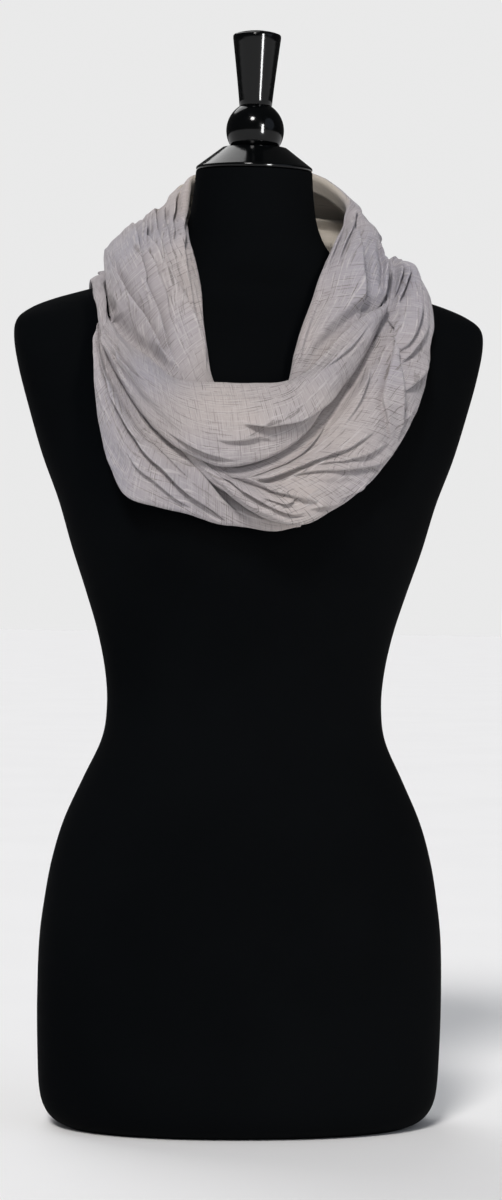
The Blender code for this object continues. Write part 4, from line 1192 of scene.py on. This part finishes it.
def add_sun(sun, sizes):
    data = bpy.data.lights.new(sun.name, "SUN")
    data.color = sun.colour
    data.energy = sun.power * sizes.light
    data.angle = math.radians(sun.width)
    light = bpy.data.objects.new(sun.name, data)
    side, height = math.radians(sun.azimuth), math.radians(sun.elevation)
    level = math.cos(height)
    toward = Vector((math.sin(side) * level, -math.cos(side) * level, math.sin(height)))
    light.rotation_euler = toward.to_track_quat("Z", "Y").to_euler()
    bpy.context.scene.collection.objects.link(light)


def add_strip(sizes):
    data = bpy.data.lights.new("strip", "AREA")
    data.shape = "RECTANGLE"
    data.size, data.size_y = STRIP_WIDTH, STRIP_HEIGHT
    data.energy = sizes.strip
    strip = bpy.data.objects.new("strip", data)
    strip.location = STRIP_PLACE
    strip.rotation_euler = (math.pi / 2, 0, math.radians(STRIP_TURN))
    strip.visible_diffuse = False
    strip.visible_camera = False
    bpy.context.scene.collection.objects.link(strip)


def add_camera(sizes):
    """The camera at the photograph's angle, level and rolled a little."""
    data = bpy.data.cameras.new("camera")
    data.lens = sizes.lens
    data.sensor_width = SENSOR_WIDTH
    data.shift_x = sizes.shift
    camera = bpy.data.objects.new("camera", data)
    facing = Matrix.Rotation(sizes.azimuth, 4, "Z") @ Matrix.Rotation(math.pi / 2, 4, "X")
    rolled = Matrix.Rotation(sizes.roll, 4, "Z")
    forward = Vector((-math.sin(sizes.azimuth), math.cos(sizes.azimuth), 0))
    place = Vector((0, 0, sizes.height)) - forward * sizes.distance
    camera.matrix_world = Matrix.Translation(place) @ facing @ rolled
    bpy.context.scene.collection.objects.link(camera)
    bpy.context.scene.camera = camera


def set_air(sizes):
    """Even light from all round, paler as a backdrop and darker where it is mirrored."""
    world = bpy.data.worlds.new("studio_air")
    world.use_nodes = True
    nodes, links = world.node_tree.nodes, world.node_tree.links
    air = nodes["Background"]
    air.inputs["Color"].default_value = AIR_COLOUR
    air.inputs["Strength"].default_value = sizes.air
    backdrop = nodes.new("ShaderNodeBackground")
    backdrop.inputs["Color"].default_value = (1.0, 1.0, 1.0, 1.0)
    backdrop.inputs["Strength"].default_value = sizes.backdrop
    mirrored = nodes.new("ShaderNodeBackground")
    mirrored.inputs["Strength"].default_value = sizes.mirrored
    seen = nodes.new("ShaderNodeLightPath")
    surface = air
    for ray, other in (("Is Glossy Ray", mirrored), ("Is Camera Ray", backdrop)):
        share = nodes.new("ShaderNodeMixShader")
        links.new(seen.outputs[ray], share.inputs["Fac"])
        links.new(surface.outputs[0], share.inputs[1])
        links.new(other.outputs[0], share.inputs[2])
        surface = share
    links.new(surface.outputs[0], nodes["World Output"].inputs["Surface"])
    bpy.context.scene.world = world


class SCARF_OT_stage(bpy.types.Operator):
    """Set the pale floor, the soft lights and the camera"""

    bl_idname = "scarf.stage"
    bl_label = "Studio"

    def execute(self, context):
        sizes = context.scene.scarf_stage
        mesh = bmesh.new()
        bmesh.ops.create_grid(mesh, x_segments=1, y_segments=1, size=FLOOR_REACH)
        floor = finished("studio_floor", mesh)
        floor.data.materials.append(floor_paint(sizes))
        set_air(sizes)
        for sun in SUNS:
            add_sun(sun, sizes)
        add_strip(sizes)
        add_camera(sizes)
        context.scene.view_settings.view_transform = "Standard"
        return {"FINISHED"}


class SCARF_PT_panel(bpy.types.Panel):
    """The scarf's operators and their settings"""

    bl_idname = "SCARF_PT_panel"
    bl_label = "Infinity scarf"
    bl_space_type = "VIEW_3D"
    bl_region_type = "UI"
    bl_category = "Scarf"

    def draw(self, context):
        for operator, group in PANEL_ROWS:
            self.layout.operator(operator.bl_idname)
            settings = getattr(context.scene, group)
            for name in type(settings).__annotations__:
                self.layout.prop(settings, name)


PANEL_ROWS = (
    (SCARF_OT_form, "scarf_form"),
    (SCARF_OT_cap, "scarf_cap"),
    (SCARF_OT_wraps, "scarf_cloth"),
    (SCARF_OT_stage, "scarf_stage"),
)
GROUPS = {
    "scarf_cloth": ClothSizes,
    "scarf_form": FormSizes,
    "scarf_cap": CapSizes,
    "scarf_stage": StageSizes,
}
CLASSES = (*GROUPS.values(), SCARF_OT_form, SCARF_OT_cap, SCARF_OT_wraps, SCARF_OT_stage, SCARF_PT_panel)


def register():
    for one in CLASSES:
        bpy.utils.register_class(one)
    for name, group in GROUPS.items():
        setattr(bpy.types.Scene, name, bpy.props.PointerProperty(type=group))


def unregister():
    for name in GROUPS:
        delattr(bpy.types.Scene, name)
    for one in reversed(CLASSES):
        bpy.utils.unregister_class(one)


def main():
    register()
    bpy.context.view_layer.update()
    bpy.ops.scarf.form()
    bpy.ops.scarf.cap()
    bpy.ops.scarf.wraps()
    bpy.ops.scarf.stage()


if __name__ == "__main__":
    main()
